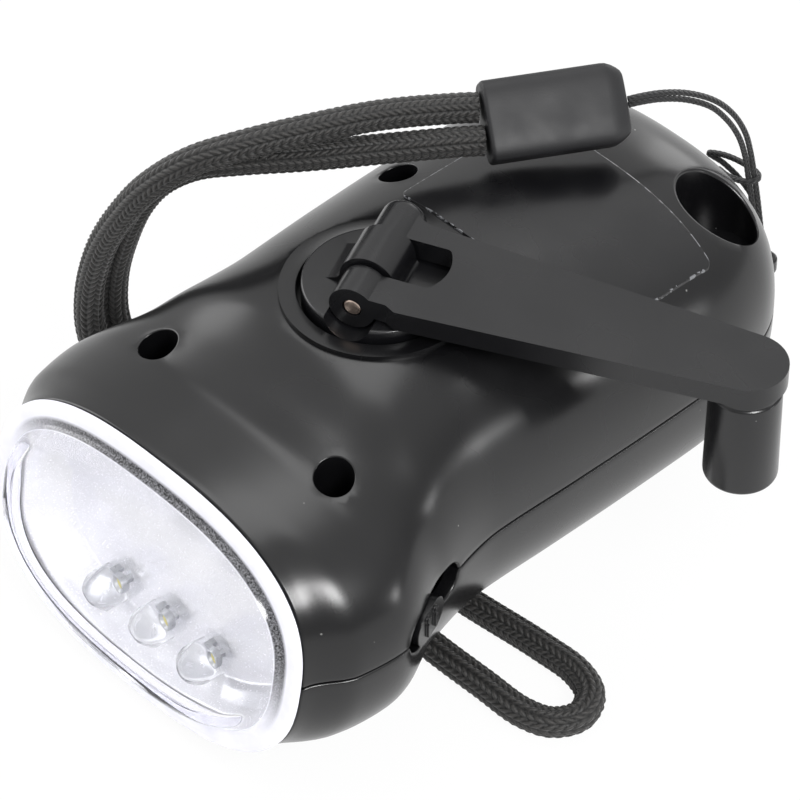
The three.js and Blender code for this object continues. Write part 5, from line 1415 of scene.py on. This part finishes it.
# %% [markdown]
# The lamp. Its clear cover has a flat flange that matches the housing's rim and a shallow dome in front of
# the lamps. Behind it lies the reflector, a bowl that was plated by vacuum metallising, with the three
# lamps in its lower part. All are rings of the rim's own superellipse, drawn in by an inset, in axes that
# lean with the rim. They could be modelled one by one, but as rings of one kind they fit each other and the
# housing without a gap.

# %% Lamp axes and rings
RIM_HALF_WIDTH = BULGE * width_shares[0, 1]
RIM_HEIGHT = HUMP * height_shares[0, 1] / math.cos(RIM_LEAN)
RIM_DEPTH = BELLY * depth_shares[0, 1] / math.cos(RIM_LEAN)


def lamp_place(points):
    """From the lamp's axes (-Y out of the lens, Z up the rim) to the frame: a lean about X at the rim."""
    points = np.asarray(points, float)
    c, s = math.cos(RIM_LEAN), math.sin(RIM_LEAN)
    y = points[..., 1] * c + points[..., 2] * s - CRANK_FROM_RIM
    z = points[..., 2] * c - points[..., 1] * s + PARTING
    return place(np.stack([points[..., 0], y, z], axis=-1))


def rim_rings(insets, ahead, lower_insets=None, upper_insets=None, shares=None, count=160):
    """Superellipse rings: each has its inset above and below, its place ahead of the rim plane, and a share
    that shrinks it towards the middle."""
    insets, ahead = np.asarray(insets, float)[:, None], np.asarray(ahead, float)[:, None]
    lower = insets if lower_insets is None else np.asarray(lower_insets, float)[:, None]
    upper = insets if upper_insets is None else np.asarray(upper_insets, float)[:, None]
    shares = np.ones_like(insets) if shares is None else np.asarray(shares, float)[:, None]
    c, s, size = superellipse(round_angles(count), SECTION_POWER)
    z = np.where(s > 0, RIM_HEIGHT - upper, RIM_DEPTH - lower) * s * size * shares
    x = (RIM_HALF_WIDTH - insets) * c * size * shares
    return np.stack([x, -ahead * np.ones(count), z], axis=-1)


# %% [markdown]
# Clear polystyrene, moulded and polished, and the lamps' clear epoxy. A solid block of polystyrene has an
# IOR of 1.55. With it the render's thin cover mirrored so much sky that the bowl behind it went dark, and
# the real one looks nearly clear. So the cover's IOR is 1.15 and the lamps' 1.24. Light has to reach the
# reflector through them, so for shadow rays the plastic is left out, which is what a thin clear wall does
# in effect.


# %% Clear plastic
def clear_plastic(name, tint, rough, index):
    """Glass from the Principled shader, made transparent for shadow rays through Light Path."""
    made, tree = blank(name)
    where = add(tree, "TexCoord").outputs["Object"]
    ripple = add(tree, "TexNoise", {"Vector": where, "Scale": per_metre(7.0), "Detail": 1.0})
    bump = add(tree, "Bump", {"Height": ripple, "Strength": 0.04, "Distance": 0.0003})
    glass = add(tree, "BsdfPrincipled", {"Base Color": colour(tint), "Roughness": rough, "IOR": index,
                "Transmission Weight": 1.0, "Normal": bump})
    gone = add(tree, "BsdfTransparent", {"Color": colour("f4f4f6")})
    path = add(tree, "LightPath")
    mixed = add(tree, "MixShader", {0: path.outputs["Is Shadow Ray"], 1: glass, 2: gone})
    add(tree, "OutputMaterial", {"Surface": mixed})
    return made


# The moulds are polished, so both are almost free of roughness. The epoxy is cast, and a little greyer.
lens_plastic = clear_plastic("clear_polystyrene", "fdfdfe", 0.03, 1.15)
led_epoxy = clear_plastic("clear_epoxy", "f4f5f6", 0.05, 1.24)
print("clear materials:", lens_plastic.name, "and", led_epoxy.name)

# %% Lens cover
DOME_RISE, FLANGE = 4.0, 1.2
COVER_FOOT, COVER_CAP = 2.7, 12.3  # insets where the dome starts and where its even cap starts
# Rows of both tables: inset, and height of the dome's outside as a share or of its inside in millimetres.
outer_table = np.array([[2.55, 0.0], [3.1, 0.22], [4.1, 0.62], [5.6, 0.78], [7.8, 0.86], [COVER_CAP, 0.96]])
inner_table = np.array([[COVER_FOOT, 0.3], [3.6, 0.75], [4.4, 1.5], [5.3, 2.48], [8.2, 3.44],
                        [COVER_CAP, 3.84]])
cap = np.linspace(0, 1, 14)[:-1]
dome_insets = np.linspace(COVER_CAP, COVER_FOOT, 44)
hollow_insets = np.linspace(COVER_FOOT, COVER_CAP, 40)
cap_insets = np.full(len(cap), COVER_CAP)
cover_insets = np.concatenate([cap_insets, dome_insets, hollow_insets, cap_insets])
cover_ahead = np.concatenate([FLANGE + DOME_RISE * (1 - 0.04 * cap ** 2),
                              FLANGE + DOME_RISE * eased(outer_table, dome_insets),
                              eased(inner_table, hollow_insets), 4.0 - 0.16 * cap[::-1] ** 2])
cover_shares = np.concatenate([cap, np.ones(44 + 40), cap[::-1]])
cover_points, cover_faces = rings_sheet(rim_rings(cover_insets, cover_ahead, shares=cover_shares))
cover_mesh = new_mesh("clear_lens_cover", lamp_place(cover_points), cover_faces, 50)
dress("clear_lens_cover", cover_mesh, lens_plastic, "housing", "clear_plastic", "lens_cover")

# %% [markdown]
# The cover's flange lies on the housing's rim. It is the same clear plastic, but light that enters the cover
# runs along inside it and leaves here, so it looks like a pale frosted frame. Inside it, along the top, the
# dark grainy lip of the metallised reflector shows through the foot of the dome, dark because it reflects
# the black housing. Real light paths of this kind take very many samples to render, so the flange is painted
# light: a pale surface with a little light of its own. Its mesh carries a band value for the dark strip, a
# painted reflection, which rises up the dome's foot.

# %% Edge-lit polystyrene
edge_lit_flange, tree = blank("edge_lit_polystyrene")
# Polystyrene, IOR 1.55. Its pale, faintly violet colour and its own light are painted light, for the light
# that runs out of the flange. The strip is a painted dark reflection of the housing in the aluminium film,
# with light specks of its porous moulding.
where = add(tree, "TexCoord").outputs["Object"]
clouds = add(tree, "TexNoise", {"Vector": where, "Scale": per_metre(3.0), "Detail": 2.0})
pores = add(tree, "TexNoise", {"Vector": where, "Scale": per_metre(0.22), "Detail": 4.0, "Roughness": 0.6})
pore_share = add(tree, "MapRange", {"Value": pores, "From Min": 0.38, "From Max": 0.66})
rough = add(tree, "MapRange", {"Value": clouds, **NOISE_SPAN, "To Min": 0.12, "To Max": 0.2})
pale_piped_light = add(tree, "Mix", {"Factor": clouds, "A": colour("d0d0da"), "B": colour("e6e6ee")}, data_type="RGBA")
specks = add(tree, "Mix", {"Factor": pore_share, "A": colour("121213"), "B": colour("85858a")},
             data_type="RGBA")
band = add(tree, "Attribute", attribute_name="band").outputs["Fac"]
tone = add(tree, "Mix", {"Factor": band, "A": pale_piped_light, "B": specks}, data_type="RGBA")
own_light = add(tree, "MapRange", {"Value": band, "From Min": 0.0, "From Max": 1.0, "To Min": 0.12,
                "To Max": 0.0})
skin = add(tree, "BsdfPrincipled", {"Base Color": tone, "Roughness": rough, "IOR": 1.55,
           "Emission Color": tone, "Emission Strength": own_light})
add(tree, "OutputMaterial", {"Surface": skin})
print("made", edge_lit_flange.name)

# %% Lens flange
FLANGE_ROLL = 0.4
roll = np.linspace(math.pi / 2, 0, 6)
foot_insets = np.linspace(3.0, 2.64, 9)
foot_ahead = FLANGE + DOME_RISE * eased(outer_table, foot_insets)
foot_shares = np.array([0.0, 0.5, 1, 1, 1, 1, 1, 1, 1])
# From the dome's foot over the flat face, round the outer edge and back along the seat to the foot.
flange_insets = np.concatenate([foot_insets - 0.04, [2.4, 2.0, 1.75, 1.5, 1.0],
                                FLANGE_ROLL * (1 - np.cos(roll)), [0.0, 2.6, 2.96]])
flange_ahead = np.concatenate([foot_ahead, [FLANGE] * 5, FLANGE - FLANGE_ROLL + FLANGE_ROLL * np.sin(roll),
                               [0.3, 0.3, foot_ahead[0]]])
band_shares = np.concatenate([foot_shares, [1, 1, 0.5, 0, 0], np.zeros(9)])
flange_rings = rim_rings(flange_insets, flange_ahead)
# The painted reflection is dark along the top and fades down the right side: a smooth step in height, helped
# by the side.
reflection_up_the_rim = np.clip((flange_rings[..., 2] + 0.28 * flange_rings[..., 0] + 4) / 14, 0, 1)
reflection_up_the_rim = reflection_up_the_rim * reflection_up_the_rim * (3 - 2 * reflection_up_the_rim)
flange_points, flange_faces = rings_sheet(flange_rings)
flange_mesh = new_mesh("lens_flange", lamp_place(flange_points), flange_faces, 50,
                       mark="band", shares=band_shares[:, None] * reflection_up_the_rim)
dress("lens_flange", flange_mesh, edge_lit_flange, "housing", "clear_plastic", "lens_cover")

# %% [markdown]
# Vacuum-metallised plastic. The film of aluminium is bright but follows every pore of the moulding under
# it, so the bowl is no mirror: it shows a soft, faintly violet white. Its upper lip looks dark and speckled
# where it reflects the black rim. A full metal would mirror the black rim in hard patches. So the film is
# four tenths metal over a pale ground, and a lip value on the mesh paints that dark reflection in, speckled
# by the pores: a painted reflection, darkest towards the top.

# %% Metallised film
mirror, tree = blank("vacuum_metallised_plastic")
where = add(tree, "TexCoord").outputs["Object"]
pores = add(tree, "TexNoise", {"Vector": where, "Scale": per_metre(0.2), "Detail": 3.0, "Roughness": 0.6})
clouds = add(tree, "TexNoise", {"Vector": where, "Scale": per_metre(6.0), "Detail": 2.0})
pore_share = add(tree, "MapRange", {"Value": pores, "From Min": 0.35, "From Max": 0.65})
rough = add(tree, "MapRange", {"Value": pores, **NOISE_SPAN, "To Min": 0.16, "To Max": 0.3})
lip = add(tree, "Attribute", attribute_name="lip")
speckled_reflection = add(tree, "Mix", {"Factor": pore_share, "A": colour("1c1c1e"), "B": colour("77777b")},
              data_type="RGBA")
bowl_tone = add(tree, "Mix", {"Factor": clouds, "A": colour("dcdce0"), "B": colour("ececef")},
                data_type="RGBA")
tone = add(tree, "Mix", {"Factor": lip, "A": bowl_tone, "B": speckled_reflection}, data_type="RGBA")
bump = add(tree, "Bump", {"Height": pores, "Strength": 0.25, "Distance": 0.00004})
skin = add(tree, "BsdfPrincipled", {"Base Color": tone, "Metallic": 0.4, "Roughness": rough,
           "Normal": bump})
add(tree, "OutputMaterial", {"Surface": skin})
print("made", mirror.name)

# %% Reflector bowl
LED_PITCH, LED_DROP = 8.1, 9.1
BOWL_EDGE, BOWL_MOUTH, BOWL_FLOOR_INSET, BOWL_DEPTH = 2.1, 3.2, 7.0, 5.0
bowl_table = np.array([[BOWL_MOUTH, 0.0], [4.2, 0.4], [5.65, 0.76], [BOWL_FLOOR_INSET, 1.0]])
upper_table = np.array([[BOWL_EDGE, BOWL_EDGE], [BOWL_MOUTH, BOWL_MOUTH], [5.65, 8.4],
                        [BOWL_FLOOR_INSET, 15.0]])  # inset at the sides, and inset at the top
wall_insets = np.linspace(BOWL_MOUTH, BOWL_FLOOR_INSET, 22)
floor_shares = np.linspace(1, 0, 16)[1:]
# From the skirt behind the rim over the lip, down the wall and in to the middle of the floor.
bowl_insets = np.concatenate([[BOWL_EDGE, BOWL_EDGE, 2.4, 3.0], wall_insets,
                              np.full(len(floor_shares), BOWL_FLOOR_INSET)])
bowl_depth = np.concatenate([[1.4, 0.4, 0.3, 0.3], 0.3 + (BOWL_DEPTH - 0.3) * eased(bowl_table, wall_insets),
                             np.full(len(floor_shares), BOWL_DEPTH)])
bowl_lower = bowl_insets * 0.6 + BOWL_EDGE * 0.4
bowl_upper = np.interp(bowl_insets, *upper_table.T)
bowl_shares = np.concatenate([np.ones(4 + len(wall_insets)), floor_shares])
bowl_rings = rim_rings(bowl_insets, -bowl_depth, bowl_lower, bowl_upper, bowl_shares)
# Painted reflection of the black rim: the lip's first rings, darker towards the top.
lip_reflection_share = np.zeros(bowl_rings.shape[:2])
lip_reflection_share[:6] = 1
lip_reflection_share *= np.clip((bowl_rings[..., 2] + bowl_rings[..., 0] * 0.2 - 1) / 6, 0, 1)
bowl_points, bowl_faces = rings_sheet(bowl_rings)
bowl_mesh = new_mesh("reflector_bowl", lamp_place(bowl_points), bowl_faces, 50, mark="lip",
                     shares=lip_reflection_share)
bowl = dress("reflector_bowl", bowl_mesh, mirror, "housing", "reflector_metal", "reflector")
thick = bowl.modifiers.new("wall", "SOLIDIFY")
thick.thickness = 1.0 * MM
thick.offset = -1.0

# %% [markdown]
# The three lamps are 5 mm light-emitting diodes: a clear epoxy bullet on a collar, and inside it two
# tinned leads, one of which ends in the cup that holds the chip under a dot of yellow phosphor. A bullet
# alone would look empty through the lens, so the leads and the dot are modelled in it.

# %% Lamps
LED_RADIUS, LED_COLLAR, LED_BACK = 2.5, 2.9, 7.6
tip = np.linspace(0, math.pi / 2, 14)
led_foot = rounded([[0, 0], [LED_COLLAR, 0], [LED_COLLAR, 1.0], [LED_RADIUS, 1.0], [LED_RADIUS, 6.0]],
                   [0.15, 0.15, 0.1], 4)
led_profile = np.concatenate([led_foot[:-1], np.stack([LED_RADIUS * np.cos(tip),
                                                       6.1 + LED_RADIUS * np.sin(tip)], axis=1)])


def lamp_forward(points, side):
    """Stands a form whose axis is Z into the lamp's axes, so that it points out of the lens."""
    points = np.asarray(points, float)
    x, y, z = np.moveaxis(points, -1, 0)
    return np.stack([x + side * LED_PITCH, LED_BACK - z, y - LED_DROP], axis=-1)


for name, node, side in (("lamp_bullet_left", "led_left", -1), ("lamp_bullet_centre", "led_centre", 0),
                         ("lamp_bullet_right", "led_right", 1)):
    points, faces = turned(led_profile, 56)
    lamp_mesh = new_mesh(name, lamp_place(lamp_forward(points, side)), faces, 40)
    dress(name, lamp_mesh, led_epoxy, "housing", "led_epoxy", node)

# %% Leads inside the lamps
# The lead frame is stamped steel with a bright tin coat, so it glints through the epoxy.
tinned = bright_metal("tinned_lead_frame", "c9cacc", 0.25, 0.4, 0.3)


def bar(x0, x1, y0, y1, z0, z1):
    """A block as a closed sheet."""
    outline = [[x0, y0], [x1, y0], [x1, y1], [x0, y1]]
    return extruded(outline, z0, z1)


lead_sheets = []
for side in (-1, 0, 1):
    cup = turned(rounded([[0, 4.1], [0.45, 4.1], [0.75, 4.7], [0.95, 4.7], [0.95, 3.6], [0, 3.6]],
                         [0.05, 0.05, 0.05, 0.1], 3), 28, x=0.3)
    parts = [bar(0.05, 0.65, -0.25, 0.25, 0.3, 3.7), bar(-1.4, -0.85, -0.25, 0.25, 0.3, 3.4),
             bar(-1.4, -0.25, -0.25, 0.25, 3.4, 4.2), cup]
    lead_sheets += [(lamp_forward(points, side), faces) for points, faces in parts]
lead_points, lead_faces = join_sheets(*lead_sheets)
lead_mesh = new_mesh("lamp_leads", lamp_place(lead_points), lead_faces, 35)
dress("lamp_leads", lead_mesh, tinned, "housing", "screw_steel")

# %% Phosphor
phosphor, tree = blank("yellow_phosphor")
# Phosphor powder in clear resin, IOR 1.45: a dull warm yellow when the lamp is off.
where = add(tree, "TexCoord").outputs["Object"]
specks = add(tree, "TexNoise", {"Vector": where, "Scale": per_metre(0.12), "Detail": 2.0})
tone = add(tree, "Mix", {"Factor": specks, "A": colour("d9cc6a"), "B": colour("efe6a4")}, data_type="RGBA")
skin = add(tree, "BsdfPrincipled", {"Base Color": tone, "Roughness": 0.6, "IOR": 1.45})
add(tree, "OutputMaterial", {"Surface": skin})
dot_sheets = []
for side in (-1, 0, 1):
    points, faces = turned([[0, 4.42], [0.3, 4.4], [0.6, 4.3], [0.45, 4.1], [0, 4.1]], 24, x=0.3)
    dot_sheets.append((lamp_forward(points, side), faces))
dot_points, dot_faces = join_sheets(*dot_sheets)
phosphor_mesh = new_mesh("phosphor_dots", lamp_place(dot_points), dot_faces, 60)
dress("phosphor_dots", phosphor_mesh, phosphor, "housing", "led_epoxy")

# %% [markdown]
# The bail is the small tongue at the tail that the thread is tied to. It belongs to the lower shell: a
# rounded tab with an eye. It is flat and small, so it is cut and bevelled as the crank's solids are.

# %% Bail
BAIL_X, BAIL_HALF, BAIL_ROOT, BAIL_REACH = 10.2, 2.4, 49.0, 56.4
BAIL_BOTTOM, BAIL_THICKNESS = 14.4, 2.2
tab = rounded_rectangle(BAIL_X - BAIL_HALF, BAIL_X + BAIL_HALF, BAIL_ROOT, BAIL_REACH, 1.3, along=6)
bail_solid = loose("tab", *extruded(tab, BAIL_BOTTOM, BAIL_BOTTOM + BAIL_THICKNESS))
eye = extruded(arc(BAIL_X, BAIL_REACH - BAIL_THICKNESS, 1.2, 0, 2 * math.pi, 33)[:-1], 10, 20)
bail_solid = combine(bail_solid, loose("eye", *eye), "DIFFERENCE")
beveled("thread_bail", bail_solid, 0.35, place, housing_abs, "housing", "housing")


# %% [markdown]
# Inside the housing the CAD parts are already exact, so they stay and get their finish: natural acetal for
# gears, bush and frame, plated steel for the pole plates, enamelled copper for the winding, black ferrite
# for the magnet, green boards, nickel cells in a blue sleeve. They are out of sight, so one recipe serves
# for all: two close tones and a noise that is as coarse as the real surface.


# %% Finishes of the inner parts
def plain_finish(name, dark, light, rough_low, rough_high, size, index=1.5, metal=0.0, relief=0.15,
                 stretch=None):
    """Two close tones mixed by a noise of the given size, which also drives roughness and relief."""
    made, tree = blank(name)
    where = add(tree, "TexCoord").outputs["Object"]
    if stretch is not None:
        where = add(tree, "Mapping", {"Vector": where, "Scale": stretch})
    spots = add(tree, "TexNoise", {"Vector": where, "Scale": per_metre(size), "Detail": 3.0})
    tone = add(tree, "Mix", {"Factor": spots, "A": colour(dark), "B": colour(light)}, data_type="RGBA")
    rough = add(tree, "MapRange", {"Value": spots, **NOISE_SPAN, "To Min": rough_low, "To Max": rough_high})
    bump = add(tree, "Bump", {"Height": spots, "Strength": relief, "Distance": 0.00004})
    sockets = {"Base Color": tone, "Metallic": metal, "Normal": bump, "Roughness": rough}
    if metal == 0:
        sockets["IOR"] = index
    skin = add(tree, "BsdfPrincipled", sockets)
    add(tree, "OutputMaterial", {"Surface": skin})
    return made


# Acetal is milky and waxy, and moulded without colour.
acetal = plain_finish("natural_acetal", "dedacb", "efece2", 0.35, 0.5, 0.8, 1.48)
# The lacquer on the wire is clear, so the copper shows, in level turns of a quarter millimetre.
enamelled_copper = plain_finish("enamelled_copper_wire", "8a3f1d", "c9733a", 0.25, 0.4, 0.25, metal=1.0,
                                relief=0.5, stretch=(0.05, 0.05, 1.0))
# Ferrite is pressed powder, sintered and ground: dark grey, dull, with a weak metallic glint.
ferrite = plain_finish("sintered_ferrite", "2b2c30", "3c3d42", 0.5, 0.7, 0.3, metal=0.2)
# The boards are glass epoxy under green solder mask, the cells' cans nickel-plated steel, and the sleeve
# is shrunk PVC film.
circuit_board = plain_finish("green_circuit_board", "174a2b", "236a40", 0.35, 0.5, 1.6, 1.55)
nickel_cell = plain_finish("nickel_plated_can", "b6b7b9", "cdcecf", 0.2, 0.35, 1.5, metal=1.0)
shrink_sleeve = plain_finish("blue_shrink_sleeve", "22427c", "2f559a", 0.3, 0.45, 2.0, 1.54)
print("finishes of the inner parts are made, with", len(bpy.data.materials), "materials in all")

# %% Inner parts
inner_finishes = [
    (acetal, "shaft_bush drive_gear idler_gear_1 idler_gear_2 gear_frame stator_bobbin rotor_pinion"),
    (pin_steel, "idler_axle_1 idler_axle_2 rotor_axle"),
    (screw_steel, "pole_plate_lower pole_plate_upper switch_body"),
    (enamelled_copper, "stator_coil"),
    (ferrite, "rotor_magnet"),
    (circuit_board, "led_board control_board"),
    (nickel_cell, "battery_cell_1 battery_cell_2 battery_cell_3"),
    (shrink_sleeve, "battery_sleeve"),
]
for material, nodes in inner_finishes:
    for node in nodes.split():
        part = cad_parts[node]
        part.data.materials.clear()
        part.data.materials.append(material)
    print(f"{material.name}: {nodes}")
